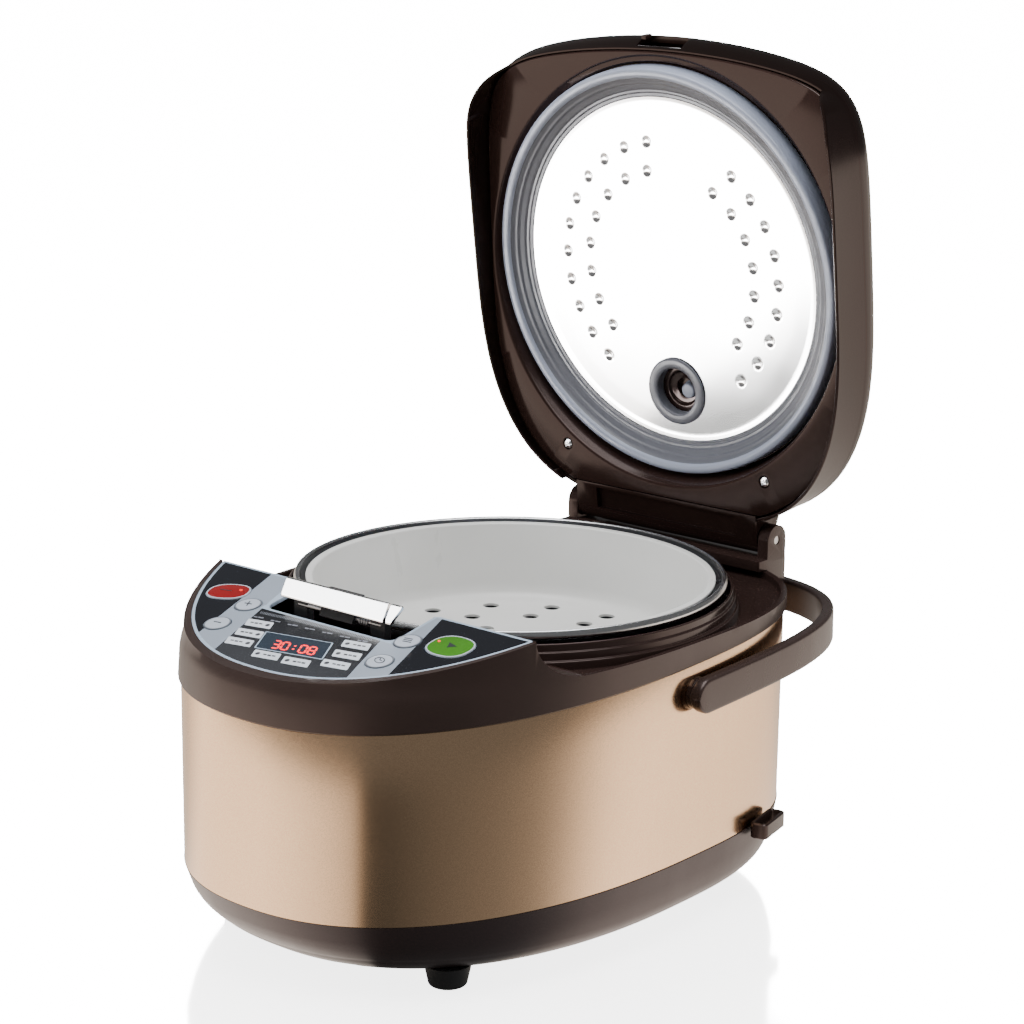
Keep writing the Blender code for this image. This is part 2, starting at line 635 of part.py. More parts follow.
# ---- lid ----------------------------------------------------------------------------------------
def make_lid_shell(mat):
    skin = LID_SKIN
    outer = ((0.0010, lid_edge, LID_LEAN), (0.0, dome(0.0160), LID_LEAN * 0.6),
             (0.0004, dome(0.0240), 0.0), (0.0045, dome(0.0300), 0.0), (0.0180, dome(0.0355), 0.0),
             (0.0420, dome(0.0400), 0.0), (0.0800, dome(LID_TOP), 0.0))
    inner = ((0.0010 + skin, lid_edge, LID_LEAN), (skin, dome(0.0160), LID_LEAN * 0.6),
             (0.0060, dome(0.0285), 0.0), (0.0420, dome(0.0400 - skin), 0.0),
             (0.0800, dome(LID_TOP - skin), 0.0))
    rings = [lid_ring(*row) for row in reversed(inner)] + [lid_ring(*row) for row in outer]
    shell = loft("lid_shell", rings, mat)
    y, z = POT_Y + HINGE_Y, RIM_Z + HINGE_Z
    boolean(shell, box("rear_relief", (-0.0765, y - 0.0230, z - 0.03),
                       (0.0765, y + 0.03, z - BARREL_R + 0.0006)))
    block = [(y - 0.0165, z - BARREL_R), (y, z - BARREL_R)]
    for k in range(1, 8):
        a = math.radians(-90 + 180 * k / 8)
        block.append((y + BARREL_R * math.cos(a), z + BARREL_R * math.sin(a)))
    block += [(y, z + BARREL_R), (y - 0.0200, z + 0.0200), (y - 0.0300, z + 0.0270),
              (y - 0.0300, z + 0.0220), (y - 0.0165, z + 0.0100)]
    boolean(shell, prism("hinge_block", block, -BARREL_W, BARREL_W, "X"), "UNION")
    boolean(shell, rod("barrel_bore", SHAFT_R + 0.0001, (-0.09, y, z), (0.09, y, z), None, 20))
    boolean(shell, box("spring_slot", (-0.0655, y - 0.0080, z - 0.0060),
                       (-0.0520, y + 0.02, z + 0.0075)))
    boolean(shell, box("catch_window", (-0.0160, -0.20, RIM_Z + 0.0123),
                       (0.0160, POT_Y - 0.1255, RIM_Z + 0.0235)))
    centre = (0, POT_Y + VENT_Y)
    cup = lathe("valve_cup", ((0, 0.0308), (0.0262, 0.0308), (0.0262, 0.0500), (0, 0.0500)),
                None, centre, count=32)
    under = [lid_ring(i, dome(h)) for i, h in ((0.0010, 0.0200), (0.0180, 0.0350), (0.0420, 0.0395),
                                               (0.0800, LID_TOP - 0.0005))]
    boolean(cup, loft("dome_shape", under), "INTERSECT")
    boolean(shell, cup, "UNION")
    boolean(shell, lathe("valve_hole", ((0, 0.0), (VENT_R + 0.0003, 0.0), (VENT_R + 0.0003, 0.0329),
                                        (0.0238, 0.0329), (0.0238, 0.06), (0, 0.06)),
                         None, centre, count=32))
    return shell


def make_lid_liner(mat):
    def top(y):
        return face_z(y) + 0.0022

    def mouth(radius, z):
        ring = []
        for i in range(SEG):
            a = 2 * math.pi * i / SEG
            # the point of the circle about the pot's axis in the same direction from PLAN_Y
            d = PLAN_Y - POT_Y
            s = math.sin(a)
            r = -d * s + math.sqrt(radius * radius - d * d * (1 - s * s))
            x, y = r * math.cos(a), PLAN_Y + r * s
            ring.append((x, y, RIM_Z + (z(y - POT_Y) if callable(z) else z)))
        return ring
    rings = [lid_ring(0.0037, face_z, LID_LEAN * 0.9), mouth(MOUTH_R, face_z), mouth(SEAT_R, SEAT_Z),
             mouth(0.0600, SEAT_Z), mouth(0.0600, SEAT_Z + 0.0020),
             mouth(SEAT_R + 0.0018, SEAT_Z + 0.0020), mouth(MOUTH_R + 0.0010, top),
             lid_ring(0.0037, top, LID_LEAN * 0.9)]
    liner = loft("lid_liner", rings, mat, loop=True)
    y = POT_Y + HINGE_Y
    boolean(liner, box("liner_rear_cut", (-0.0760, y - 0.0172, RIM_Z - 0.02),
                       (0.0760, y + 0.01, RIM_Z + 0.02)))
    hole = rod("liner_vent_hole", VENT_R + 0.0008, (0, POT_Y + VENT_Y, RIM_Z),
               (0, POT_Y + VENT_Y, RIM_Z + 0.03), None, 32)
    boolean(liner, hole)
    for side, x in (("left", -0.0737), ("right", 0.0737)):
        z = RIM_Z + face_z(0.1137)
        boolean(liner, rod(f"screw_bore_{side}", 0.0036, (x, POT_Y + 0.1137, z - 0.01),
                           (x, POT_Y + 0.1137, z + 0.01), None, 16))
    return liner


def make_lid_inside(plate_mat, rubber, valve_mat, steel):
    gasket = ((0.1041, 0.0122), (0.1224, 0.0122), (0.1224, 0.0050), (0.1216, 0.0010),
              (0.1200, 0.0005), (0.1172, 0.0006), (0.1160, 0.0016), (0.1085, 0.0082),
              (0.1041, 0.0098))
    lathe("lid_gasket", gasket, rubber, loop=True)
    plate = lathe("inner_lid_plate", ((0, PLATE_Z), (0.0900, PLATE_Z), (PLATE_R, PLATE_Z + 0.0002),
                                      (PLATE_R, PLATE_Z + 0.0010), (0.0900, PLATE_Z + 0.0008),
                                      (0, PLATE_Z + 0.0008)), plate_mat)
    boolean(plate, rod("plate_hole", VENT_R + 0.0002, (0, POT_Y + VENT_Y, RIM_Z),
                       (0, POT_Y + VENT_Y, RIM_Z + 0.03), None, 32))
    centre = (0.0, POT_Y + VENT_Y)
    lathe("vent_seal", ((0.0126, 0.0093), (0.0195, 0.0093), (0.0207, 0.0099), (0.0205, 0.0105),
                        (VENT_R, 0.0105), (VENT_R, 0.0160), (0.0126, 0.0160)),
          rubber, centre, count=32, loop=True)
    lathe("steam_valve", ((0.0060, 0.0166), (0.0148, 0.0166), (0.0148, 0.0332), (0.0230, 0.0332),
                          (0.0230, 0.0346), (0.0215, 0.0360), (0.0060, 0.0360)),
          valve_mat, centre, count=32, loop=True)
    for side, x in (("left", -0.0737), ("right", 0.0737)):
        z = face_z(0.1137)
        lathe(f"lid_screw_{side}", ((0, z - 0.0010), (0.0020, z - 0.0008), (0.0031, z + 0.0004),
                                    (0.0031, z + 0.0010), (0.0016, z + 0.0010),
                                    (0.0016, z + 0.0080), (0, z + 0.0080)),
              steel, (x, POT_Y + 0.1137), RIM_Z, 16)
    box("lid_catch", (-0.0155, POT_Y - 0.1320, RIM_Z + 0.0126),
        (0.0155, POT_Y - 0.1306, RIM_Z + 0.0132), steel)


def hang_lid(pivot):
    """Put every piece of the lid, and the shapes that cut it, on the hinge and swing it open."""
    origin = Vector((0.0, POT_Y + HINGE_Y, RIM_Z + HINGE_Z))
    names = ("lid_shell", "rear_relief", "hinge_block", "barrel_bore", "spring_slot",
             "catch_window", "valve_cup", "dome_shape", "valve_hole", "lid_liner", "liner_rear_cut",
             "liner_vent_hole", "screw_bore_left", "screw_bore_right", "lid_gasket",
             "inner_lid_plate", "plate_hole", "vent_seal", "steam_valve", "lid_screw_left",
             "lid_screw_right", "lid_catch")
    for name in names:
        obj = bpy.data.objects[name]
        obj.data.transform(Matrix.Translation(-origin))
        obj.parent = pivot
    pivot.location = origin
    pivot.rotation_euler.x = -math.radians(LID_OPEN)


# ---- handle -------------------------------------------------------------------------------------
def bail_path():
    """Outer face of the handle in plan, from the right pivot round the rear to the left one."""
    points = []
    steps = 16
    for i in range(2 * steps + 1):
        a = math.pi * i / (2 * steps)
        c, s = math.cos(a), math.sin(a)
        x = BAIL_X * math.copysign(abs(c) ** (2 / BAIL_N), c)
        points.append((x, BAIL_REAR * abs(s) ** (2 / BAIL_N)))
    return points


def make_handle(mat):
    """Flat bail with round ends, drawn level about its pivot axis."""
    path = bail_path()
    half, c = BAIL_H / 2, 0.0016
    stations = []
    for k in range(3):
        a = math.radians(18 + 24 * k)
        stations.append((BAIL_X, -half * math.cos(a), (1.0, 0.0), half * math.sin(a)))
    for i, (x, y) in enumerate(path):
        before, after = path[max(i - 1, 0)], path[min(i + 1, len(path) - 1)]
        t = Vector((after[0] - before[0], after[1] - before[1])).normalized()
        stations.append((x, y, (t.y, -t.x), half))
    stations += [(-x, y, (-n[0], n[1]), h) for x, y, n, h in reversed(stations[:3])]
    rings = []
    for x, y, n, h in stations:
        e = min(c, h * 0.5)
        section = ((0, -h + e), (0, h - e), (e, h), (BAIL_T - e, h), (BAIL_T, h - e),
                   (BAIL_T, -h + e), (BAIL_T - e, -h), (e, -h))
        rings.append([(x - n[0] * d, y - n[1] * d, z) for d, z in section])
    handle = loft("handle", rings, mat, angle=50.0)
    for side in (-1, 1):
        inner = side * (BAIL_X - BAIL_T - 0.001)
        outer = side * (BAIL_X - 0.0020)
        boolean(handle, rod(f"handle_bore_{side}", PIN_R + 0.0001, (inner, 0, 0), (outer, 0, 0), None, 20))
    pivot = bpy.data.objects.new("handle_pivot", None)
    bpy.context.scene.collection.objects.link(pivot)
    for name in ("handle", "handle_bore_-1", "handle_bore_1"):
        bpy.data.objects[name].parent = pivot
    pivot.location = (0.0, POT_Y + BAIL_Y, RIM_Z + BAIL_Z)
    pivot.rotation_euler.x = math.radians(BAIL_TILT)


def make_bosses(mat):
    """Stepped bosses: a flange inside the skirt, a washer outside it and a pin into the handle."""
    face = BAIL_X - BAIL_T
    skin = BODY_W - SKIRT_INSET
    rows = ((0.0, 0.1275), (0.0100, 0.1275), (0.0100, skin - SKIRT_WALL - 0.0012),
            (0.0060, skin - SKIRT_WALL - 0.0012), (0.0060, skin + 0.0004), (0.0088, skin + 0.0004),
            (0.0088, face - GAP), (PIN_R, face - GAP), (PIN_R, BAIL_X - 0.0024), (0.0, BAIL_X - 0.0024))
    for side, sign in (("left", -1), ("right", 1)):
        boss = lathe(f"handle_boss_{side}", rows, mat, (0, 0), 0.0, 24)
        boss.location = (0.0, POT_Y + BAIL_Y, RIM_Z + BAIL_Z)
        boss.rotation_euler.y = sign * math.pi / 2


# ---- assembly -----------------------------------------------------------------------------------
def main():
    for obj in list(bpy.data.objects):
        bpy.data.objects.remove(obj, do_unlink=True)

    brown = material("housing_plastic", (0.060, 0.045, 0.042), 0.38)
    deep = material("inner_plastic", (0.030, 0.018, 0.016), 0.25)
    gold = material("champagne_metal", (0.62, 0.46, 0.34), 0.38, 0.9)
    rubber = material("grey_silicone", (0.42, 0.48, 0.60), 0.45)
    black = material("black_rubber", (0.02, 0.02, 0.02), 0.7)
    panel = material("panel_film", (0.26, 0.29, 0.34), 0.3)
    glass = material("tinted_window", (0.03, 0.04, 0.05), 0.1, 0.0, 0.5)
    chrome = material("chrome", (0.85, 0.85, 0.86), 0.08, 1.0)
    steel = material("steel", (0.55, 0.55, 0.56), 0.35, 1.0)
    alu = material("aluminium", (0.80, 0.80, 0.81), 0.25, 1.0)
    pot = material("pot_coating", (0.10, 0.11, 0.12), 0.4, 0.6)
    tray = material("tray_plastic", (0.72, 0.72, 0.70), 0.35)
    board = material("circuit_board", (0.02, 0.18, 0.07), 0.5)
    red = material("red_key", (0.55, 0.02, 0.02), 0.3)
    green = material("green_key", (0.12, 0.50, 0.05), 0.3)
    silver = material("silver_key", (0.50, 0.52, 0.56), 0.3)

    make_base(brown)
    make_feet(black)
    make_inlet(black)
    make_spoon_holder(deep)
    make_skirt(gold)
    make_upper_housing(brown)
    make_panel(panel)
    make_keys({"key_cancel": red, "key_start": green, "round": silver})
    make_display(glass, black, board)
    make_release_button(chrome, deep, steel)
    make_pot(pot)
    make_tray(tray)
    make_heating(steel, alu, alu, steel)
    make_power_board(board, black)
    make_hinge_bracket(deep, steel)
    make_lid_shell(deep)
    make_lid_liner(deep)
    make_lid_inside(alu, rubber, deep, steel)
    pivot = bpy.data.objects.new("lid_hinge", None)
    bpy.context.scene.collection.objects.link(pivot)
    hang_lid(pivot)
    spring = coil("lid_spring", 0.0048, 0.0005, 6.0, -0.0052, 0.0052, steel, 12, 5)
    spring.location = (-0.0587, POT_Y + HINGE_Y, RIM_Z + HINGE_Z)
    spring.rotation_euler.y = math.pi / 2
    make_handle(brown)
    make_bosses(brown)


main()
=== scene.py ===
import math

import bmesh
import bpy
from mathutils import Matrix, Vector


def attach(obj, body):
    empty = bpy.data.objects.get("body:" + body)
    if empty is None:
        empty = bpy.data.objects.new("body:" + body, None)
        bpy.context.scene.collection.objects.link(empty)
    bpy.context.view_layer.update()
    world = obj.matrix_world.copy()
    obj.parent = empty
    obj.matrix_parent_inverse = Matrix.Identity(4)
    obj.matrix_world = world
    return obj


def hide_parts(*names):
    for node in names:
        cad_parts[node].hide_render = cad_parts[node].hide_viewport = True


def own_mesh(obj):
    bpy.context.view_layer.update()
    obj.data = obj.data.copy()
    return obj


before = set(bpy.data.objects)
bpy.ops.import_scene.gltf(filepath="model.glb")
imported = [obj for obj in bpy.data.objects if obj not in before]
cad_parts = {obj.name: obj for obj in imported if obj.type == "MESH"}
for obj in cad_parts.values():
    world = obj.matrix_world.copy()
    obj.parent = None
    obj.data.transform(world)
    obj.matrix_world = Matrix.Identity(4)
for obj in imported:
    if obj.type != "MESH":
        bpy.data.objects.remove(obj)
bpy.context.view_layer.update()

# ---- dimensions (metres) ------------------------------------------------------------------------
RIM_Z, POT_Y, PLAN_Y, GAP = 0.183, 0.015, 0.010, 0.0003
SEG = 288
BODY_W, BODY_F, BODY_R, BODY_NF, BODY_NR = 0.1325, 0.2070, 0.1580, 2.25, 3.0
SKIRT_Z0, SKIRT_Z1, SKIRT_SLOPE = 0.0453, 0.1470, 0.0387
DECK_Z, FLOOR_Z, THROAT_R, THROAT_WALL, THROAT_Z0 = -0.0155, -0.0195, 0.1235, 0.0027, -0.0340
PANEL_BACK_Y, PANEL_Z, PANEL_SLOPE = -0.1135, 0.0067, 0.20
PANEL_W, PANEL_F, PANEL_N, PANEL_T = 0.1295, 0.1965, 2.25, 0.0022
NOTCH_W, NOTCH_Y = 0.0465, -0.1470
KEY_STAND, KEY_TRAVEL, KEY_GAP = 0.0006, 0.0006, 0.0004
HINGE_Y, HINGE_Z, LID_OPEN = 0.1521, 0.0009, 82.14
LID_W, LID_FRONT, LID_ARC, LID_R, LID_NR, LID_CORNER = 0.1340, 0.1375, 0.4450, 0.1520, 3.0, 9.0
LID_RIM_Z, LID_FRONT_Z, LID_TOP, LID_SKIN, LID_LEAN, LID_FALL = -0.0120, 0.0105, 0.0430, 0.0018, 0.0050, 0.45
FACE_Z, FACE_SLOPE, MOUTH_R, SEAT_R, SEAT_Z = 0.0085, -0.0654, 0.1280, 0.1228, 0.0125
PLATE_R, PLATE_Z, VENT_Y, VENT_R = 0.1037, 0.0108, 0.0739, 0.0150
BARREL_R, BARREL_W, HINGE_W, SHAFT_R = 0.0092, 0.0675, 0.0755, 0.0025
BAIL_X, BAIL_REAR, BAIL_N, BAIL_T, BAIL_H = 0.1415, 0.1810, 3.8, 0.0070, 0.0196
BAIL_TILT, BAIL_Z = 2.0, -0.0438
SCREW_X, SCREW_Y = 0.0737, 0.1137
VENT = (0.0, POT_Y + VENT_Y)
HINGE = (POT_Y + HINGE_Y, RIM_Z + HINGE_Z)     # y and z of the lid's axis


# ---- materials ----------------------------------------------------------------------------------
class Graph:
    """Node tree of one material, with its coordinates in metres."""

    def __init__(self, name):
        self.material = bpy.data.materials.new(name)
        self.material.use_nodes = True
        self.tree = self.material.node_tree
        self.shader = self.tree.nodes["Principled BSDF"]
        self.coord = self.tree.nodes.new("ShaderNodeTexCoord").outputs["Object"]

    def node(self, kind, inputs=(), **settings):
        n = self.tree.nodes.new(kind)
        for key, value in settings.items():
            setattr(n, key, value)
        for key, value in dict(inputs).items():
            self.put(n.inputs[key], value)
        return n

    def put(self, socket, value):
        if isinstance(value, bpy.types.NodeSocket):
            self.tree.links.new(value, socket)
        else:
            socket.default_value = value

    def stretch(self, scale):
        return self.node("ShaderNodeMapping", {"Vector": self.coord, "Scale": scale}).outputs["Vector"]

    def noise(self, scale, detail=3.0, rough=0.55, vector=None):
        n = self.node("ShaderNodeTexNoise", {"Vector": vector or self.coord, "Scale": scale,
                                             "Detail": detail, "Roughness": rough})
        return n.outputs["Fac"]

    def remap(self, value, low, high, to_low, to_high):
        n = self.node("ShaderNodeMapRange", {0: value, 1: low, 2: high, 3: to_low, 4: to_high})
        return n.outputs[0]

    def around(self, value, middle, reach, low=0.3):
        """Turn noise into a value up to reach either side of middle."""
        return self.remap(value, low, 1 - low, middle - reach, middle + reach)

    def math(self, operation, a, b=0.0):
        return self.node("ShaderNodeMath", {0: a, 1: b}, operation=operation).outputs[0]

    def mix(self, fac, a, b):
        n = self.node("ShaderNodeMix", data_type="RGBA")
        for key, value in (("Factor", fac), ("A", a), ("B", b)):
            self.put(n.inputs[key], value)
        return n.outputs["Result"]

    def mottle(self, noise, a, b):
        return self.mix(self.remap(noise, 0.3, 0.7, 0.0, 1.0), a, b)

    def bump(self, height, strength, distance, normal=None):
        n = self.node("ShaderNodeBump", {"Height": height, "Strength": strength, "Distance": distance})
        if normal is not None:
            self.put(n.inputs["Normal"], normal)
        return n.outputs["Normal"]

    def finish(self, colour, rough, normal=None, extra=()):
        """Feed the shader and give back the material."""
        values = {"Base Color": colour, "Roughness": rough, **dict(extra)}
        if normal is not None:
            values["Normal"] = normal
        for key, value in values.items():
            self.put(self.shader.inputs[key], value)
        return self.material


def rgba(colour):
    return (*colour, 1.0)


def shade(colour, k):
    return rgba(tuple(c * k for c in colour))


def plastic(name, colour, rough, grain=0.3, grain_size=2400.0, coat=0.0, vary=0.12, sheen=0.5,
            tint=(1.0, 1.0, 1.0)):
    """Moulded plastic: faint mottling, uneven sheen, a fine grain and a few rubbed spots."""
    g = Graph(name)
    smear = g.noise(46.0, 5.0, 0.6, g.stretch((1.0, 1.0, 0.35)))
    wear = g.remap(g.noise(7.0, 2.0), 0.35, 0.75, 0.0, 0.06)
    fine = g.bump(g.noise(grain_size, 2.0), grain, 0.00006)
    extra = {"IOR": 1.47, "Specular IOR Level": sheen, "Specular Tint": rgba(tint)}
    if coat:
        extra.update({"Coat Weight": coat, "Coat Roughness": 0.12})
    return g.finish(g.mottle(g.noise(14.0, 4.0), shade(colour, 1 - vary), shade(colour, 1 + vary)),
                    g.math("ADD", g.around(smear, rough, 0.05, 0.25), wear),
                    g.bump(g.noise(60.0, 2.0), 0.03, 0.0002, fine), extra)


def metallic_paint(name, colour, rough):
    """Champagne finish: fine flakes in a satin metal coat, a little uneven."""
    g = Graph(name)
    flakes = g.node("ShaderNodeTexVoronoi", {"Vector": g.coord, "Scale": 2600.0}).outputs["Color"]
    flake = g.node("ShaderNodeSeparateColor", {"Color": flakes}).outputs["Red"]
    tone = g.mottle(g.noise(5.0, 3.0), shade(colour, 0.95), shade(colour, 1.03))
    speck = g.remap(flake, 0.0, 1.0, 0.90, 1.08)
    value = g.node("ShaderNodeHueSaturation", {"Color": tone, "Value": speck}).outputs["Color"]
    return g.finish(value, g.around(g.noise(11.0, 5.0, 0.6), rough, 0.03, 0.25),
                    g.bump(g.noise(1800.0, 2.0), 0.12, 0.00005), {"Metallic": 1.0})


def metal(name, colour, rough, scale=(1.0, 1.0, 1.0), grain=0.2, blotch=0.04):
    """Bare metal; a stretched scale draws the grain out into brushing."""
    g = Graph(name)
    lines = g.noise(520.0, 3.0, 0.6, g.stretch(scale))
    return g.finish(g.mottle(lines, shade(colour, 0.93), rgba(colour)),
                    g.around(g.noise(16.0, 4.0), rough, blotch), g.bump(lines, grain, 0.00005),
                    {"Metallic": 1.0})


def rubber(name, colour, rough, soft=0.0):
    g = Graph(name)
    glow = {"Subsurface Weight": soft, "Subsurface Radius": (0.004, 0.004, 0.005), "Subsurface Scale": 1.0}
    return g.finish(g.mix(g.noise(30.0, 4.0), shade(colour, 0.88), shade(colour, 1.08)),
                    g.around(g.noise(90.0), rough, 0.06), g.bump(g.noise(900.0, 2.0), 0.2, 0.00008),
                    glow if soft else {})


def film(name, colour, rough, dark=None):
    """Printed panel film with a very fine texture; dark makes it fade along Y."""
    g = Graph(name)
    tone = g.mix(g.noise(25.0), shade(colour, 0.93), shade(colour, 1.06))
    if dark:
        y = g.node("ShaderNodeSeparateXYZ", {"Vector": g.coord}).outputs["Y"]
        tone = g.mix(g.remap(y, -0.176, -0.136, 0.0, 1.0), tone, rgba(dark))
    return g.finish(tone, g.around(g.noise(70.0), rough, 0.04), g.bump(g.noise(2600.0, 2.0), 0.15, 0.00004))


def glowing(name, colour, strength):
    g = Graph(name)
    light = g.remap(g.noise(900.0, 2.0), 0.2, 0.8, strength * 0.85, strength * 1.1)
    return g.finish(rgba(colour), 0.35, None, {"Emission Color": rgba(colour), "Emission Strength": light})


def board_material(name):
    """Circuit board: solder mask with faint copper tracks."""
    g = Graph(name)
    track = g.node("ShaderNodeTexBrick", {"Vector": g.stretch((260.0, 260.0, 260.0)), "Scale": 1.0,
                                          "Color1": rgba((0.010, 0.10, 0.035)),
                                          "Color2": rgba((0.012, 0.13, 0.045)),
                                          "Mortar": rgba((0.03, 0.22, 0.09)), "Mortar Size": 0.03})
    return g.finish(track.outputs["Color"], g.around(g.noise(120.0), 0.35, 0.07),
                    g.bump(track.outputs["Fac"], 0.3, 0.0001))


WARM = (1.0, 0.80, 0.76)     # the brown plastics tint what they reflect
M = {
    "brown": plastic("brown_satin_plastic", (0.030, 0.020, 0.0175), 0.30, 0.22, tint=WARM),
    "base": plastic("base_satin_plastic", (0.027, 0.019, 0.019), 0.34, 0.25, tint=(1.0, 0.84, 0.86)),
    "gloss": plastic("brown_gloss_plastic", (0.023, 0.0135, 0.0118), 0.14, 0.05, 1800.0, sheen=0.4,
                     tint=WARM),
    "lid": plastic("lid_gloss_plastic", (0.019, 0.0102, 0.0086), 0.15, 0.06, 1800.0, sheen=0.34,
                   tint=WARM),
    "handle": plastic("handle_satin_plastic", (0.030, 0.019, 0.0165), 0.27, 0.2, tint=(1.0, 0.82, 0.79)),
    "gold": metallic_paint("champagne_paint", (0.79, 0.535, 0.335), 0.20),
    "silicone": rubber("blue_grey_silicone", (0.26, 0.29, 0.37), 0.34, 0.15),
    "seal": rubber("dark_grey_silicone", (0.10, 0.105, 0.125), 0.36, 0.1),
    "foot": rubber("foot_rubber", (0.018, 0.018, 0.019), 0.62),
    "band": film("panel_silver_film", (0.26, 0.30, 0.36), 0.34),
    "edge": film("panel_border_film", (0.36, 0.44, 0.54), 0.30),
    "black": film("panel_black_film", (0.004, 0.005, 0.008), 0.16),
    "zone": film("panel_centre_film", (0.030, 0.032, 0.037), 0.20, (0.006, 0.007, 0.009)),
    "tag": film("panel_tag_film", (0.62, 0.66, 0.72), 0.34),
    "ink": film("panel_dark_ink", (0.020, 0.022, 0.028), 0.4),
    "label": film("panel_label_ink", (0.17, 0.18, 0.21), 0.4),
    "tick": film("panel_tick_ink", (0.20, 0.22, 0.25), 0.4),
    "glass": film("window_glass", (0.020, 0.030, 0.044), 0.10),
    "digit": glowing("digit_light", (1.0, 0.02, 0.02), 2.2),
    "led": glowing("key_light", (1.0, 0.05, 0.03), 1.4),
    "red": plastic("red_key_plastic", (0.20, 0.002, 0.003), 0.24, 0.1, coat=0.3),
    "green": plastic("green_key_plastic", (0.036, 0.165, 0.004), 0.28, 0.1, coat=0.2),
    "key": plastic("silver_key_plastic", (0.42, 0.46, 0.53), 0.30, 0.1, coat=0.3, vary=0.05),
    # darker copy of the silver key plastic for the rims and sides of the silver keys: a painted shade ring
    # round their faces
    "key_rim": plastic("key_rim_plastic", (0.13, 0.145, 0.17), 0.30, 0.1, vary=0.05),
    "chrome": metal("polished_chrome", (0.92, 0.92, 0.93), 0.07, grain=0.03, blotch=0.02),
    "steel": metal("zinc_steel", (0.56, 0.56, 0.57), 0.32, (1.0, 1.0, 0.2)),
    "plate": metal("bright_aluminium", (0.93, 0.93, 0.94), 0.20, (1.0, 0.15, 1.0), 0.08),
    "cast": metal("cast_aluminium", (0.60, 0.60, 0.61), 0.42, grain=0.5),
    "pot": metal("pot_dark_coating", (0.14, 0.145, 0.155), 0.30, grain=0.15),
    "bead": metal("pot_rim_bead", (0.56, 0.57, 0.58), 0.24, grain=0.05),
    "wall": metal("pot_outer_wall", (0.34, 0.37, 0.42), 0.32, (1.0, 1.0, 0.1), 0.2),
    "tray": plastic("tray_white_plastic", (0.62, 0.62, 0.605), 0.30, 0.12, 1500.0, vary=0.03),
    "board": board_material("circuit_board"),
    "electric": plastic("black_nylon", (0.020, 0.020, 0.021), 0.45, 0.3),
    "sensor": metal("sensor_cap", (0.70, 0.70, 0.71), 0.28),
}


# ---- mesh building ------------------------------------------------------------------------------
def add_mesh(name, verts, faces, mats, index=None, angle=35.0):
    mesh = bpy.data.meshes.new(name)
    mesh.from_pydata([tuple(v) for v in verts], [], faces)
    for key in mats:
        mesh.materials.append(M[key])
    if index:
        mesh.polygons.foreach_set("material_index", index)
    bm = bmesh.new()
    bm.from_mesh(mesh)
    bmesh.ops.recalc_face_normals(bm, faces=bm.faces)
    bm.to_mesh(mesh)
    bm.free()
    smooth(mesh, angle)
    obj = bpy.data.objects.new(name, mesh)
    bpy.context.scene.collection.objects.link(obj)
    return obj


def smooth(mesh, angle=35.0):
    mesh.shade_smooth()
    mesh.set_sharp_from_angle(angle=math.radians(angle))


def loft(name, rings, mats=("brown",), loop=False, bands=None, angle=35.0):
    """Skin through rings of equal counts; bands gives the material index of each span."""
    count = len(rings[0])
    verts = [p for ring in rings for p in ring]
    faces, index = [], []
    spans = len(rings) if loop else len(rings) - 1
    for k in range(spans):
        a, b = k * count, ((k + 1) % len(rings)) * count
        for i in range(count):
            j = (i + 1) % count
            faces.append((a + i, a + j, b + j, b + i))
            index.append(bands[k] if bands else 0)
    if not loop:
        faces += [tuple(range(count)), tuple(range(len(verts) - count, len(verts)))]
        index += [bands[0] if bands else 0, bands[-1] if bands else 0]
    return add_mesh(name, verts, faces, mats, index, angle)


def around_point(cx, cy, radius, count):
    return [(cx + radius * math.cos(a), cy + radius * math.sin(a))
            for a in (2 * math.pi * i / count for i in range(count))]


def circle(radius, z, centre=(0.0, POT_Y), count=SEG):
    return [(x, y, z) for x, y in around_point(*centre, radius, count)]


def lathe(name, profile, mats, centre=(0.0, POT_Y), base=RIM_Z, count=SEG, loop=False, bands=None,
          angle=35.0):
    """Turn (radius, height) pairs about a vertical axis; an end at radius 0 closes on the axis."""
    verts, faces, index, rows = [], [], [], []
    for r, z in profile:
        start = len(verts)
        ring = [(centre[0], centre[1], base + z)] if r < 1e-6 else circle(r, base + z, centre, count)
        verts += ring
        rows.append(range(start, start + len(ring)))
    pairs = list(zip(rows, rows[1:])) + ([(rows[-1], rows[0])] if loop else [])
    for k, (low, high) in enumerate(pairs):
        for i in range(count):
            j = (i + 1) % count
            if len(low) == 1:
                faces.append((low[0], high[j], high[i]))
            elif len(high) == 1:
                faces.append((low[i], low[j], high[0]))
            else:
                faces.append((low[i], low[j], high[j], high[i]))
            index.append(bands[k] if bands else 0)
    return add_mesh(name, verts, faces, mats, index, angle)


def rounded(profile, radius, steps=5, closed=False):
    """Replace each corner of a (u, v) chain by a short curve; corners may give their own radius."""
    points = [(p[0], p[1], p[2] if len(p) > 2 else radius) for p in profile]
    out = []
    last = len(points) - 1
    for i, (u, v, r) in enumerate(points):
        if not closed and i in (0, last) or r <= 0:
            out.append((u, v))
            continue
        here = Vector((u, v))
        before = Vector(points[i - 1][:2]) - here
        after = Vector(points[(i + 1) % len(points)][:2]) - here
        reach = min(r, before.length * 0.49, after.length * 0.49)
        a, b = here + before.normalized() * reach, here + after.normalized() * reach
        for k in range(steps + 1):
            t = k / steps
            p = a * (1 - t) ** 2 + here * 2 * t * (1 - t) + b * t * t
            out.append((p.x, p.y))
    return out


def rect(u0, v0, u1, v1):
    return [(u0, v0), (u1, v0), (u1, v1), (u0, v1)]


def prism(name, outline, low, high, axis="Z", mats=("brown",)):
    def place(u, v, w):
        return {"Z": (u, v, w), "X": (w, u, v), "Y": (u, w, v)}[axis]
    return loft(name, [[place(u, v, w) for u, v in outline] for w in (low, high)], mats)


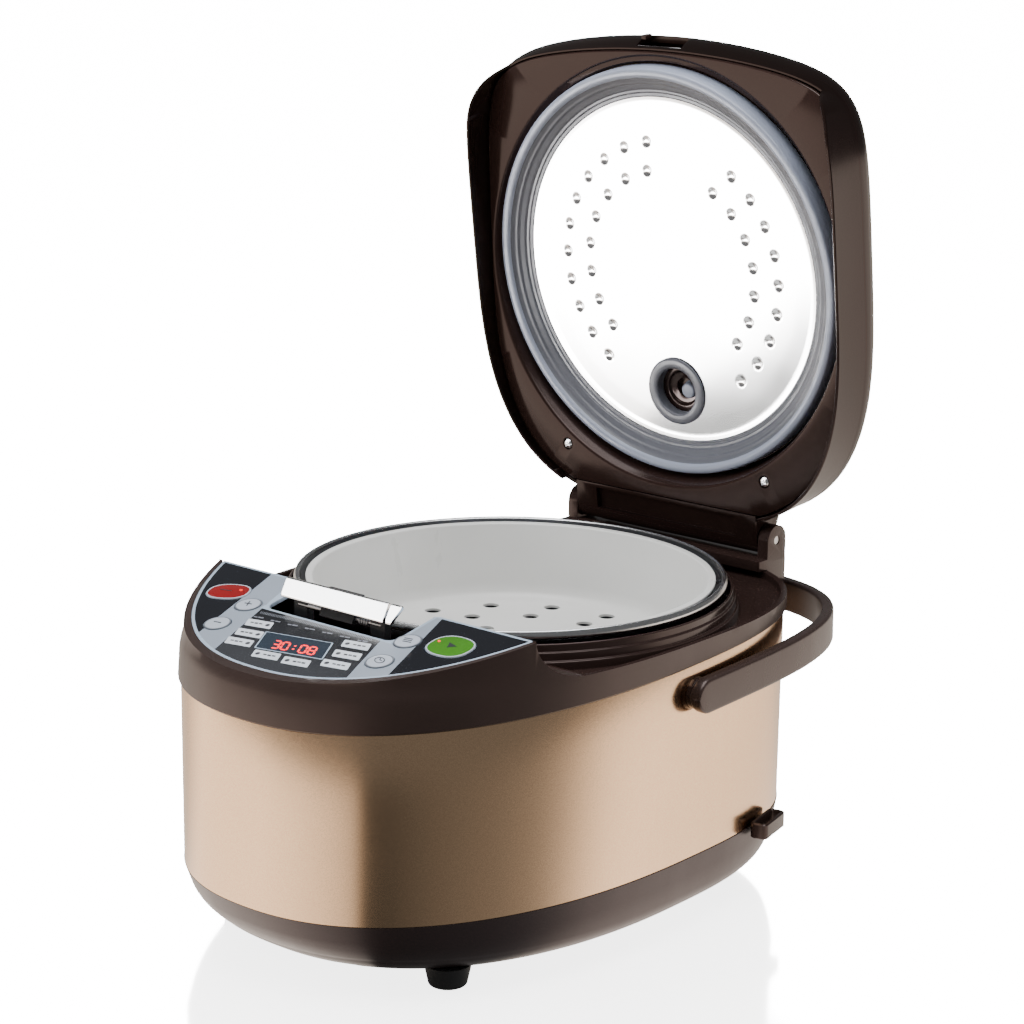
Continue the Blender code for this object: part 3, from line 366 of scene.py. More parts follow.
def slab(name, low, high, mats=("brown",)):
    return prism(name, rect(*low[:2], *high[:2]), low[2], high[2], "Z", mats)


def rod(name, radius, start, end, mats=("steel",), count=48):
    a, b = Vector(start), Vector(end)
    turn = (b - a).to_track_quat("Z", "Y").to_matrix()
    rings = []
    for p in (a, b):
        rings.append([p + turn @ Vector((radius * math.cos(t), radius * math.sin(t), 0))
                      for t in (2 * math.pi * i / count for i in range(count))])
    return loft(name, rings, mats)


def settle(obj, angle=35.0):
    """Make an object's modifiers part of its mesh."""
    mesh = bpy.data.meshes.new_from_object(obj.evaluated_get(bpy.context.evaluated_depsgraph_get()))
    obj.modifiers.clear()
    obj.data = mesh
    smooth(mesh, angle)
    return obj


def cut(obj, *tools, operation="DIFFERENCE"):
    for tool in tools:
        m = obj.modifiers.new(tool.name, "BOOLEAN")
        m.operation, m.solver, m.object = operation, "EXACT", tool
    settle(obj)
    for tool in tools:
        bpy.data.objects.remove(tool, do_unlink=True)
    return obj


def soften(obj, width, segments=3, angle=40.0):
    m = obj.modifiers.new("edge_round", "BEVEL")
    m.width, m.segments, m.limit_method = width, segments, "ANGLE"
    m.angle_limit = math.radians(angle)
    return settle(obj, 30.0)


def paint(obj, key, where):
    """Give the faces whose centre satisfies where the material of that key."""
    obj.data.materials.append(M[key])
    slot = len(obj.data.materials) - 1
    for face in obj.data.polygons:
        if where(face.center, face.normal):
            face.material_index = slot
    return obj


def put(obj, body, *nodes, slot=None):
    """Let a finished piece ride on its body and stand for its CAD nodes."""
    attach(obj, body)
    if nodes:
        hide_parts(*nodes)
    return obj


# ---- plan shapes --------------------------------------------------------------------------------
def plan_radius(a, width, front, rear, nf=BODY_NF, nr=BODY_NR):
    c, s = abs(math.cos(a)), abs(math.sin(a))
    depth, n = (front, nf) if math.sin(a) < 0 else (rear, nr)
    return ((c / width) ** n + (s / depth) ** n) ** (-1 / n)


def body_ring(width, front, rear, z, nf=BODY_NF, count=SEG):
    ring = []
    for i in range(count):
        a = 2 * math.pi * i / count
        r = plan_radius(a, width, front, rear, nf)
        x, y = r * math.cos(a), PLAN_Y + r * math.sin(a)
        ring.append((x, y, z(y) if callable(z) else z))
    return ring


def inset_ring(inset, z, count=SEG):
    return body_ring(BODY_W - inset, BODY_F - inset, BODY_R - inset, z, count=count)


def lid_radius(a, inset):
    c, s = math.cos(a), math.sin(a)
    if s >= 0:
        return ((abs(c) / (LID_W - inset)) ** LID_NR + (s / (LID_R - inset)) ** LID_NR) ** (-1 / LID_NR)
    arc = LID_ARC - inset
    rise = (POT_Y - LID_FRONT + LID_ARC) - PLAN_Y
    reach = rise * s + math.sqrt(max(arc * arc - rise * rise * c * c, 0.0))
    side = abs(c) / (LID_W - inset)
    return (side ** LID_CORNER + (1 / reach) ** LID_CORNER) ** (-1 / LID_CORNER)


def face_ring(reach, z, lean=0.0):
    """Ring of the lid; reach gives its radius at an angle, z its height above the pot's rim."""
    ring = []
    for i in range(SEG):
        a = 2 * math.pi * i / SEG
        r = reach(a)
        x, y = r * math.cos(a), PLAN_Y + r * math.sin(a)
        y += lean * max(0.0, (POT_Y - 0.1000 - y) / (LID_FRONT - 0.1000))
        ring.append((x, y, RIM_Z + (z(y - POT_Y) if callable(z) else z)))
    return ring


def lid_ring(inset, z, lean=0.0):
    return face_ring(lambda a: lid_radius(a, inset), z, lean)


def mouth(radius, z):
    """A ring round the pot's axis, with its points where those of the lid's rings are."""
    def reach(a):
        s, d = math.sin(a), PLAN_Y - POT_Y
        return -d * s + math.sqrt(radius * radius - d * d * (1 - s * s))
    return face_ring(reach, z)


def panel_z(y):
    return RIM_Z + PANEL_Z + PANEL_SLOPE * (y - POT_Y + 0.112)


def skirt_top(y):
    return SKIRT_Z1 + SKIRT_SLOPE * (y + 0.195)


def lid_edge(y):
    t = min(max((-0.0815 - y) / 0.032, 0.0), 1.0)
    return LID_RIM_Z + (LID_FRONT_Z - LID_RIM_Z) * (1 - math.sqrt(1 - t * t))


def dome(z):
    def height(y):
        t = min(max((y + 0.06) / 0.207, 0.0), 1.0)
        return 0.0160 + (z - 0.0160) * (1 - LID_FALL * t * t)
    return height


def face_z(y):
    return FACE_Z + FACE_SLOPE * (y + 0.12)


LID_POSE = (Matrix.Translation((0, *HINGE)) @ Matrix.Rotation(-math.radians(LID_OPEN), 4, "X")
            @ Matrix.Translation((0, -POT_Y - HINGE_Y, -RIM_Z - HINGE_Z)))


def swing(obj):
    """Turn a piece that was drawn on the closed lid to its place on the open one."""
    obj.data.transform(LID_POSE)
    return obj


# ---- base, feet, skirt --------------------------------------------------------------------------
def make_base():
    rows = rounded([(0.1190, 0.0125), (0.1240, 0.0155, 0.004), (0.1280, 0.0205, 0.006),
                    (0.1303, 0.0300, 0.010), (0.1315, 0.0450)], 0.006, 6)
    keys = ((0.1190, 0.1760, 0.1370), (0.1240, 0.1820, 0.1420), (0.1280, 0.1890, 0.1470),
            (0.1303, 0.1990, 0.1520), (0.1315, 0.2055, 0.1565))

    def depth(w, k):
        for a, b in zip(keys, keys[1:]):
            if w <= b[0]:
                return a[k] + (b[k] - a[k]) * (w - a[0]) / (b[0] - a[0])
        return keys[-1][k]
    rings = [body_ring(w, depth(w, 1), depth(w, 2), z) for w, z in rows]
    rings += [body_ring(*row) for row in ((0.1290, 0.2030, 0.1540, 0.0450), (0.1277, 0.1962, 0.1494, 0.0300),
                                          (0.1252, 0.1862, 0.1442, 0.0205), (0.1212, 0.1792, 0.1392, 0.0155))]
    base = loft("base_shell", rings, ("base",))
    tools = [slab("inlet_window", (-0.0740, 0.1300, 0.0195), (-0.0460, 0.1800, 0.0405))]
    vent_pitch, vent_half = 0.020, 0.0025
    for i in range(5):
        x = -2 * vent_pitch + vent_pitch * i
        tools.append(slab(f"vent_{i}", (x - vent_half, -0.060, 0.005), (x + vent_half, 0.020, 0.020)))
    tools.append(slab("edge_notch", (0.0340, -0.1800, 0.0100), (0.0470, -0.1500, 0.0146)))
    put(cut(base, *tools), "body", "base_housing")


def make_feet():
    foot_x, front_y, rear_y = 0.0760, -0.1210, 0.1150
    for side, x in (("left", -foot_x), ("right", foot_x)):
        for end, y in (("front", front_y), ("rear", rear_y)):
            profile = rounded([(0, 0), (0.0102, 0, 0.0016), (0.0128, 0.0122), (0, 0.0122)], 0.0003, 6)
            foot = lathe(f"foot_pad_{end}_{side}", profile, ("foot",), (x, y), 0.0, 72)
            put(foot, "body", f"foot_{end}_{side}")


def make_skirt():
    rings = [inset_ring(0.0015, SKIRT_Z0), inset_ring(0.0015, lambda y: skirt_top(y) - 0.0006),
             inset_ring(0.0017, lambda y: skirt_top(y) - 0.0002), inset_ring(0.0022, skirt_top),
             inset_ring(0.0023, SKIRT_Z0)]
    put(loft("skirt_wrap", rings, ("gold",), loop=True), "body", "body_skirt")


def make_spoon_holder():
    def outline(w, d, r):
        return rounded(rect(-w, -d, w, d), r, 6, closed=True)
    outer, inner = outline(0.0052, 0.0140, 0.0034), outline(0.0031, 0.0117, 0.0018)
    rings = []
    for ring, e, z in ((outer, 0.0006, 0.0400), (outer, 0.0, 0.0406), (outer, 0.0, 0.0484),
                       (outer, 0.0006, 0.0490), (inner, -0.0004, 0.0490), (inner, 0.0, 0.0486),
                       (inner, 0.0, 0.0400)):
        rings.append([(x * (1 - e / 0.0052), y * (1 - e / 0.0140), z) for x, y in ring])
    holder = loft("paddle_loop", rings, ("gloss",), loop=True)
    holder.data.transform(Matrix.Translation((0.1324, POT_Y + 0.0705, 0.0))
                          @ Matrix.Rotation(math.radians(12.0), 4, "Z"))
    put(holder, "body", "spoon_holder")


# ---- upper housing ------------------------------------------------------------------------------
def notch_outline(grow, steps=12):
    w, y0, y1, r = NOTCH_W + grow, NOTCH_Y - grow + POT_Y, POT_Y - 0.1050, 0.006
    points = [(w, y1)]
    for cx, start in ((w - r, 0.0), (-w + r, -90.0)):
        for k in range(steps + 1):
            a = math.radians(start - 90.0 * k / steps)
            points.append((cx + r * math.cos(a), y0 + r + r * math.sin(a)))
    points.append((-w, y1))
    return points


def panel_outline(grow, back, count=120):
    limit = POT_Y + back
    points = []
    for i in range(count + 1):
        a = -math.pi * i / count
        r = plan_radius(a, PANEL_W + grow, PANEL_F + grow, 1.0, PANEL_N)
        points.append((r * math.cos(a), PLAN_Y + r * math.sin(a)))
    s = (1 - ((PLAN_Y - limit) / (PANEL_F + grow)) ** PANEL_N) ** (1 / PANEL_N) * (PANEL_W + grow)
    return [(s, limit)] + [p for p in points if p[1] < limit] + [(-s, limit)]


def panel_solid(name, grow, low, high, back, mats=("band",), count=120):
    kept = panel_outline(grow, back, count)
    return loft(name, [[(x, y, panel_z(y) + h) for x, y in kept] for h in (low, high)], mats)


def make_upper_housing():
    wall = 0.0028
    sections = ((BODY_W - 0.0004, BODY_F - 0.0004, BODY_R - 0.0004, lambda y: skirt_top(y) + GAP),
                (BODY_W, BODY_F, BODY_R, lambda y: skirt_top(y) + GAP + 0.0005),
                (BODY_W - 0.0001, BODY_F - 0.0015, BODY_R, 0.1635),
                (BODY_W - 0.0002, BODY_F - 0.0030, BODY_R, 0.1680),
                (BODY_W - 0.0003, BODY_F - 0.0050, BODY_R, 0.1720),
                (BODY_W - 0.0005, BODY_F - 0.0075, BODY_R, 0.2000))
    housing = loft("housing_ring", [body_ring(w, f, r, z) for w, f, r, z in sections], ("brown",))
    slope = [(-0.30, panel_z(-0.30)), (PANEL_BACK_Y - 0.0015 + POT_Y, panel_z(PANEL_BACK_Y + POT_Y))]
    step = [(-0.085 - 0.030 * math.sin(t), DECK_Z + (PANEL_Z + 0.0005 - DECK_Z) * (1 - math.cos(t)))
            for t in (math.pi / 2 * i / 28 for i in range(29))]
    slope += [(y + POT_Y, z + RIM_Z) for y, z in reversed(step)]
    slope += [(0.30, RIM_Z + DECK_Z), (0.30, 0.30), (-0.30, 0.30)]
    cut(housing, prism("deck_cut", slope, -0.2, 0.2, "X"))
    floor = [(x, max(y, POT_Y - 0.0850), z) for x, y, z in
             body_ring(BODY_W - 0.0032, BODY_F, BODY_R - 0.0032, RIM_Z + FLOOR_Z)]
    cut(housing, loft("floor_cut", [floor, [(x, y, 0.21) for x, y, z in floor]]))

    def ceiling(y):
        return panel_z(y) - 0.0050 if y < POT_Y - 0.121 else RIM_Z + FLOOR_Z - 0.0025
    front = [(-0.25, 0.10), (-0.25, ceiling(-0.25)), (POT_Y - 0.1211, ceiling(POT_Y - 0.1211)),
             (POT_Y - 0.1209, ceiling(POT_Y)), (0.25, ceiling(POT_Y)), (0.25, 0.10)]
    hollow = loft("hollow", [inset_ring(wall, 0.120), inset_ring(wall + 0.0002, 0.1635),
                             body_ring(BODY_W - wall - 0.0005, BODY_F - wall - 0.0055, BODY_R - wall, 0.1720),
                             body_ring(BODY_W - wall - 0.0007, BODY_F - wall - 0.0080, BODY_R - wall,
                                       0.2100)])
    cut(hollow, prism("ceiling", front, -0.2, 0.2, "X"), operation="INTERSECT")
    cut(housing, hollow)
    throat = lathe("throat", ((THROAT_R - 0.002, THROAT_Z0), (THROAT_R + THROAT_WALL, THROAT_Z0),
                              (THROAT_R + THROAT_WALL, -0.0300), (0.1302, -0.0265),
                              (0.1302, FLOOR_Z - 0.0012), (THROAT_R - 0.002, FLOOR_Z - 0.0012)),
                   ("brown",), loop=True)
    cut(housing, throat, operation="UNION")
    cut(housing, lathe("well", rect(0, -0.08, THROAT_R, 0.03), ("brown",)))
    cut(housing, panel_solid("seat", GAP, -PANEL_T - GAP, 0.03, PANEL_BACK_Y + GAP))
    cut(housing, panel_solid("opening", -0.0028, -0.02, 0.005, -0.1240))
    cut(housing, prism("notch", notch_outline(0.0), RIM_Z - 0.012, 0.22, "Z"))
    soften(housing, 0.0005, 3, 50.0)

    def inner(c, n):
        r = math.hypot(c.x, c.y - PLAN_Y)
        inset = plan_radius(math.atan2(c.y - PLAN_Y, c.x), BODY_W, BODY_F, BODY_R) - r
        return c.y > POT_Y - 0.0860 and (inset > 0.0030 or c.z < RIM_Z + DECK_Z - 0.003 and inset > 0.0026)
    put(paint(housing, "gloss", inner), "body", "upper_housing")
    steps = rounded([(THROAT_R, -0.0215, 0), (0.1288, -0.0200, 0), (0.1285, -0.0150, 0.0008),
                     (0.1267, -0.0150, 0.0006), (0.1266, -0.0105, 0.0008), (0.1252, -0.0105, 0.0006),
                     (0.1251, -0.0062, 0.0008), (THROAT_R, -0.0062, 0.0006)], 0.0005, 5, closed=True)
    collar = lathe("pot_collar", steps, ("gloss",), loop=True)
    cut(collar, slab("collar_gap", (-0.0465, POT_Y - 0.1400, RIM_Z - 0.0120),
                     (0.0465, POT_Y - 0.1050, RIM_Z + 0.0200)))
    put(collar, "body")


# ---- control panel ------------------------------------------------------------------------------
KEYS = {"cancel": (-0.0795, -0.1420, 0.0126, 0.0090, 18.0), "plus": (-0.0570, -0.1490, 0.0074, 0.0074, 0.0),
        "minus": (-0.0555, -0.1730, 0.0074, 0.0074, 0.0), "menu": (0.0535, -0.1430, 0.0074, 0.0074, 0.0),
        "preset": (0.0560, -0.1665, 0.0074, 0.0074, 0.0), "start": (0.0780, -0.1376, 0.0130, 0.0110, 0.0)}
RIGHT = (0.9895, 0.1444)     # direction in which the panel's print runs
UP = (-0.45, 0.893)          # and the direction of its columns


def tilt(x, y):
    wy = y + POT_Y
    return Matrix.Translation((x, wy, panel_z(wy))) @ Matrix.Rotation(math.atan(PANEL_SLOPE), 4, "X")


def key_ring(rx, ry, z, turn, count=96):
    ring = []
    n = 2.0 if rx == ry else 2.4
    for i in range(count):
        a = 2 * math.pi * i / count
        r = ((abs(math.cos(a)) / rx) ** n + (abs(math.sin(a)) / ry) ** n) ** (-1 / n)
        b = a + math.radians(turn)
        ring.append((r * math.cos(b), r * math.sin(b), z))
    return ring


def key_holes():
    tools = []
    for name, (x, y, rx, ry, turn) in KEYS.items():
        hole = loft(f"{name}_hole", [key_ring(rx + KEY_GAP, ry + KEY_GAP, z, turn) for z in (-0.01, 0.01)])
        hole.data.transform(tilt(x, y))
        tools.append(hole)
    return tools


def make_panel():
    panel = panel_solid("panel_plate", 0.0, -PANEL_T, 0.0, PANEL_BACK_Y, ("edge",))
    tools = [prism("panel_notch", notch_outline(0.0), RIM_Z - 0.02, 0.22, "Z"),
             lathe("panel_well", rect(0, -0.03, THROAT_R + 0.0004, 0.03), ("band",))]
    tools += key_holes()
    half_x, half_y = 0.0203, 0.0098
    window = slab("window_hole", (-half_x, -half_y, -0.01), (half_x, half_y, 0.01))
    window.data.transform(tilt(0.0015, -0.1730))
    cut(panel, *tools, window)
    put(soften(panel, 0.00025, 2), "body", "control_panel", slot="panel")


def clip(points, a, b):
    """Keep the part of a polygon to the left of the line from a to b."""
    def side(p):
        return (b[0] - a[0]) * (p[1] - a[1]) - (b[1] - a[1]) * (p[0] - a[0])
    out = []
    for p, q in zip(points, points[1:] + points[:1]):
        s, t = side(p), side(q)
        if s >= 0:
            out.append(p)
        if s * t < 0:
            k = s / (s - t)
            out.append((p[0] + (q[0] - p[0]) * k, p[1] + (q[1] - p[1]) * k))
    return out


def clean(points):
    out = []
    for p in points:
        if not out or math.dist(p, out[-1]) > 1e-5:
            out.append(p)
    return out[:-1] if math.dist(out[0], out[-1]) < 1e-5 else out


def print_mesh(name, shapes, low, high, key):
    """Closed slices of ink between two heights over the panel, one for each outline in world x, y."""
    verts, faces = [], []
    for points in shapes:
        n, start = len(points), len(verts)
        for h in (low, high):
            verts += [(x, y, panel_z(y) + h) for x, y in points]
        faces += [tuple(range(start, start + n)), tuple(range(start + n, start + 2 * n))]
        faces += [(start + i, start + (i + 1) % n, start + n + (i + 1) % n, start + n + i) for i in range(n)]
    return add_mesh(name, verts, faces, (key,))


def decal(name, shapes, layer, key, pierced=False):
    """Print on the panel, raised by a number of ink layers; pierced lets the keys through."""
    ink = print_mesh(name, [clean(points) for points in shapes], 0.00002, 0.00003 + 0.00004 * layer, key)
    if pierced:
        cut(ink, *key_holes())
    return put(ink, "body", slot="panel")


def at(x, y, u=0.0, v=0.0):
    """World x, y of a point u along the print and v up its columns from (x, y from the pot)."""
    return (x + u * RIGHT[0] + v * UP[0], y + POT_Y + u * RIGHT[1] + v * UP[1])


def bar(x, y, u0, v0, u1, v1):
    return [at(x, y, u, v) for u, v in rect(u0, v0, u1, v1)]


def soft_bar(x, y, w, h, r):
    return [at(x, y, u, v) for u, v in rounded(rect(-w, -h, w, h), r, 4, closed=True)]


def spot(x, y, r, u=0.0, v=0.0):
    return around_point(*at(x, y, u, v), r, 20)


def shift(points):
    return [(x, y + POT_Y) for x, y in points]


DIGITS = {"3": "abcdg", "0": "abcdef", "8": "abcdefg", "1": "bc", "2": "abged"}


def segment_shapes(x, y, text, w, h, t):
    """Seven-segment figures; each segment is a thin bar with pointed ends."""
    shapes = []
    for k, mark in enumerate(text):
        u = (k - (len(text) - 1) / 2) * w * 1.42
        if mark == ":":
            shapes += [spot(x, y, t * 0.62, u, v) for v in (-h * 0.22, h * 0.22)]
            continue
        spans = {"a": ((0, 1), (1, 1)), "g": ((0, 0), (1, 0)), "d": ((0, -1), (1, -1)),
                 "b": ((1, 0), (1, 1)), "c": ((1, -1), (1, 0)), "f": ((0, 0), (0, 1)), "e": ((0, -1), (0, 0))}
        for name in DIGITS[mark]:
            (a0, b0), (a1, b1) = spans[name]
            p = Vector((u + (a0 - 0.5) * w, b0 * h / 2))
            q = Vector((u + (a1 - 0.5) * w, b1 * h / 2))
            d = (q - p).normalized()
            n = Vector((-d.y, d.x)) * t / 2
            p, q = p + d * t * 0.2, q - d * t * 0.2
            chain = [p, p + d * t / 2 - n, q - d * t / 2 - n, q, q - d * t / 2 + n, p + d * t / 2 + n]
            shapes.append([at(x, y, c.x, c.y) for c in chain])
    return shapes


TAGS = {"left": ((-0.0342, -0.1630), (-0.0308, -0.1734), (-0.0282, -0.1832)),
        "right": ((0.0317, -0.1582), (0.0353, -0.1686), (0.0375, -0.1792)),
        "bottom": ((-0.0036, -0.1878), (0.0165, -0.1864))}


def make_print():
    inner = panel_outline(-0.0017, PANEL_BACK_Y - 0.0016, 160)
    edge_l = shift([(-0.0752, -0.1100), (-0.0561, -0.1880)])
    band_l = shift([(-0.0490, -0.1413), (-0.0345, -0.1930)])
    band_r = shift([(0.0360, -0.1377), (0.0537, -0.1890)])
    edge_r = shift([(0.0503, -0.1100), (0.0722, -0.1815)])
    decal("print_end_left", [clip(inner, edge_l[1], edge_l[0])], 0, "black", pierced=True)
    decal("print_end_right", [clip(inner, edge_r[0], edge_r[1])], 0, "black", pierced=True)
    bands = [clip(clip(inner, *edge_l), band_l[1], band_l[0]),
             clip(clip(inner, *band_r), edge_r[1], edge_r[0])]
    notch = NOTCH_Y + POT_Y - 0.0018
    print_shapes = []
    for strip, sign in zip(bands, (-1, 1)):
        x = sign * (NOTCH_W + 0.0018)
        print_shapes += [clip(strip, (-0.3, notch), (-0.4, notch)),
                         clip(clip(strip, (-0.3, notch), (0.4, notch)), (x, sign * 0.3), (x, -sign * 0.3))]
    for k, shape in enumerate(s for s in print_shapes if len(s) > 2):
        decal(f"print_band_{k}", [shape], 0, "band", pierced=True)

    zone = clip(clip(inner, band_l[0], band_l[1]), band_r[1], band_r[0])
    top_l, top_r = shift([(-0.0489, -0.1486), (0.0380, -0.1486)])
    zone = clip(zone, top_r, top_l)
    decal("print_centre", [zone], 0, "zone", pierced=True)
    first, last = Vector((-0.0434, -0.1530)), Vector((0.0345, -0.1498))
    ticks, tick_count = [], 72
    for i in range(tick_count):
        t = i / (tick_count - 1)
        p = first.lerp(last, t)
        size = 0.0016 + 0.0014 * t
        p.y += 0.0016 * math.sin(math.pi * t) * 0.4
        ticks.append(bar(p.x, p.y, -0.00016, -size / 2, 0.00016, size))
    decal("print_scale", ticks, 1, "tick")
    labels = []
    for i in range(7):
        t = i / 6
        x, y = -0.0402 + 0.0718 * t, -0.1574 + 0.0044 * t
        for k, (u0, u1) in enumerate(((-0.0034, -0.0010), (-0.0004, 0.0030))):
            labels.append(bar(x, y, u0, -0.0005, u1, 0.0005 + 0.0002 * ((i + k) % 2)))
    decal("print_row", labels, 1, "label")
    tags, dots, marks = [], [], []
    for side, spots in TAGS.items():
        for k, (x, y) in enumerate(spots):
            tags.append(soft_bar(x, y, 0.0084, 0.0037, 0.0008))
            u = 0.0055 if side == "left" else -0.0055
            dots.append(spot(x, y, 0.00135, u))
            for m in range(3):
                c = -u * 0.35 + (m - 1) * 0.0028
                marks.append(bar(x, y, c - 0.0011, -0.0004 - 0.0003 * ((m + k) % 2), c + 0.0011, 0.0008))
    decal("print_tags", tags, 2, "tag")
    decal("print_tag_lights", dots, 3, "ink")
    decal("print_tag_marks", marks, 3, "ink")
    window = (0.0016, -0.1731)
    decal("print_window_frame", [soft_bar(*window, 0.0218, 0.0094, 0.0008)], 1, "edge")
    glass = decal("window_glass_plate", [soft_bar(*window, 0.0209, 0.0087, 0.0006)], 4, "glass")
    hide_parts("display_window")
    digits = segment_shapes(0.0040, -0.1752, "30:08", 0.0040, 0.0080, 0.0011)
    decal("window_digits", digits, 6, "digit")


def key_cap(name, x, y, rx, ry, turn, rim, face):
    """Key with a rim and a slightly domed face inside it."""
    under = -PANEL_T - KEY_TRAVEL
    profile = rounded([(0.0012, under - 0.0008), (0.0012, under + 0.0004), (0.0, under + 0.0004, 0),
                       (0.0, KEY_STAND, 0.0005), (-0.0007, KEY_STAND), (-0.0009, KEY_STAND - 0.00012)],
                      0.0002, 4)
    cap = loft(f"cap_{name}", [key_ring(rx + d, ry + d, z, turn) for d, z in profile], (rim,))
    fx, fy = rx - 0.0008, ry - 0.0008
    rings = [key_ring(fx, fy, KEY_STAND - 0.0004, turn)]
    for i in range(9):
        k = 1 - i / 8 * 0.985
        rings.append(key_ring(fx * k, fy * k, KEY_STAND - 0.0001 + 0.00035 * (1 - k * k), turn))
    inlay = loft(f"face_{name}", rings, (face,))
    slot = {"red": "key_red", "green": "key_green"}.get(face, "key_silver")
    for piece, nodes in ((cap, (f"key_{name}",)), (inlay, ())):
        piece.data.transform(tilt(x, y))
        put(piece, f"press_{name}", *nodes, slot=slot)


def key_mark(name, key, shapes, ink="ink", h=0.00036):
    """Raised print on a key: outlines in u, v about the key's centre."""
    x, y = KEYS[key][:2]
    shapes = [[at(x, y, u, v) for u, v in points] for points in shapes]
    put(print_mesh(f"{name}_{key}", shapes, KEY_STAND - 0.0002, KEY_STAND + h, ink), f"press_{key}")


def hoop(u, v, r, w, count=24):
    """A ring as a row of small quads."""
    out = []
    for i in range(count):
        a, b = 2 * math.pi * i / count, 2 * math.pi * (i + 1) / count
        out.append([(u + s * math.cos(t), v + s * math.sin(t))
                    for s, t in ((r, a), (r + w, a), (r + w, b), (r, b))])
    return out


def make_keys():
    for name, size in KEYS.items():
        face = {"cancel": "red", "start": "green"}.get(name, "key")
        # silver keys get the darker rim plastic, a painted shade ring round the face
        key_cap(name, *size, "key_rim" if face == "key" else "key", face)
    dash = rect(-0.0024, -0.0004, 0.0024, 0.0004)
    key_mark("mark", "plus", [dash, rect(-0.0004, 0.0005, 0.0004, 0.0026),
                              rect(-0.0004, -0.0026, 0.0004, -0.0005)])
    key_mark("mark", "minus", [dash])
    key_mark("mark", "menu", [rect(-0.0026, v - 0.00032, 0.0026, v + 0.00032)
                              for v in (-0.0018, 0.0, 0.0018)])
    key_mark("mark", "preset", hoop(0, 0, 0.0026, 0.0005) + [rect(-0.00025, 0.0, 0.00025, 0.0020),
                                                             rect(0.00026, -0.00025, 0.0016, 0.00025)])
    key_mark("mark", "start", [[(-0.0014, -0.0028), (0.0038, 0.0), (-0.0014, 0.0028)]])
    key_mark("light", "start", [around_point(-0.0078, 0.0026, 0.0008, 20)], "led")
    key_mark("mark", "cancel", [rect(-0.0058, -0.00028, 0.0022, 0.00028)], h=0.0004)
    key_mark("light", "cancel", hoop(0.0072, 0.0028, 0.0007, 0.0003), "led", 0.0003)


# ---- latch --------------------------------------------------------------------------------------
def make_release_button():
    """Chrome bar with a rounded face, a narrow gap and a small end piece."""
    outline = rounded([(-0.1360, 0.0160, 0.0006), (-0.1376, 0.0157, 0.0010), (-0.1416, 0.0083, 0.0022),
                       (-0.1419, 0.0062, 0.0004), (-0.1400, 0.0060, 0.0004), (-0.1350, 0.0146, 0.0005)],
                      0.0005, 6, closed=True)
    outline = [(y + POT_Y, z + RIM_Z) for y, z in outline]

    cy = sum(p[0] for p in outline) / len(outline)
    cz = sum(p[1] for p in outline) / len(outline)

    def capped(name, x0, x1, trim=0.0):
        rings = []
        for x, k in ((x0, 0.90), (x0 + 0.0002, 0.97), (x0 + 0.0006, 1.0),
                     (x1 - 0.0006, 1.0), (x1 - 0.0002, 0.97), (x1, 0.90)):
            lean = trim if x > (x0 + x1) / 2 else 0.0
            rings.append([(x - max(0.0, (RIM_Z + 0.0150 - z)) * lean, cy + (y - cy) * k, cz + (z - cz) * k)
                          for y, z in outline])
        return loft(name, rings, ("chrome",))
    bar_x, end_x, end_trim = (-0.0395, 0.0348), (0.0364, 0.0440), 0.45
    put(capped("button_bar", *bar_x), "release", "lid_release_button")
    put(capped("button_end", *end_x, end_trim), "release")


# ---- pot and tray -------------------------------------------------------------------------------
def make_pot():
    outside = rounded([(0, -0.1350), (0.0870, -0.1350, 0.02), (0.1020, -0.1305, 0.008),
                       (0.1115, -0.1180, 0.01), (0.1168, -0.0060, 0.0006), (0.1212, -0.0052, 0.0006),
                       (0.1221, -0.0030, 0.0010),
                       (0.1207, 0.0, 0.0010), (0.1190, -0.0006, 0.0006), (0.1176, -0.0040, 0.0008),
                       (0.1138, -0.0040, 0.0008), (0.1130, -0.0070, 0.003), (0.1098, -0.1172, 0.012),
                       (0.1008, -0.1290, 0.008), (0.0868, -0.1334, 0.02), (0, -0.1334)], 0.001, 6)
    bands = []
    for (r0, z0), (r1, z1) in zip(outside, outside[1:]):
        r, z = (r0 + r1) / 2, (z0 + z1) / 2
        if r > 0.1188 and z > -0.0042:
            bands.append(1)
        elif (r - 0.1098) * 0.1 > (z + 0.1172) * 0.0052 + 0.00012 and z < -0.0055 and r > 0.05 or z < -0.1338:
            bands.append(2)
        else:
            bands.append(0)
    put(lathe("pot_shell", outside, ("pot", "bead", "wall"), bands=bands), "pot", "inner_pot")


def make_tray():
    profile = rounded([(0, -0.0485), (0.0975, -0.0485, 0.004), (0.1035, -0.0460, 0.003),
                       (0.1062, -0.0400, 0.004), (0.1118, -0.0036, 0.0006), (0.1152, -0.0036, 0.0004),
                       (0.1152, -0.0020, 0.0005),
                       (0.1110, -0.0020, 0.0012), (0.1048, -0.0400, 0.005), (0.1024, -0.0448, 0.004),
                       (0.0972, -0.0470, 0.004), (0, -0.0470)], 0.001, 6)
    tray = lathe("tray_bowl", profile, ("tray",))
    hole_r, hole_rows = 0.0048, ((0.0880, 15), (0.0670, 12), (0.0420, 6))
    bm = bmesh.new()
    for radius, count in hole_rows:
        for i in range(count):
            a = 2 * math.pi * i / count + math.pi / 2
            place = Matrix.Translation((radius * math.cos(a), POT_Y + radius * math.sin(a), RIM_Z - 0.0478))
            bmesh.ops.create_cone(bm, cap_ends=True, segments=36, radius1=hole_r, radius2=hole_r,
                                  depth=0.006, matrix=place)
    mesh = bpy.data.meshes.new("tray_holes")
    bm.to_mesh(mesh)
    bm.free()
    holes = bpy.data.objects.new("tray_holes", mesh)
    bpy.context.scene.collection.objects.link(holes)
    put(cut(tray, holes), "tray", "steam_tray")


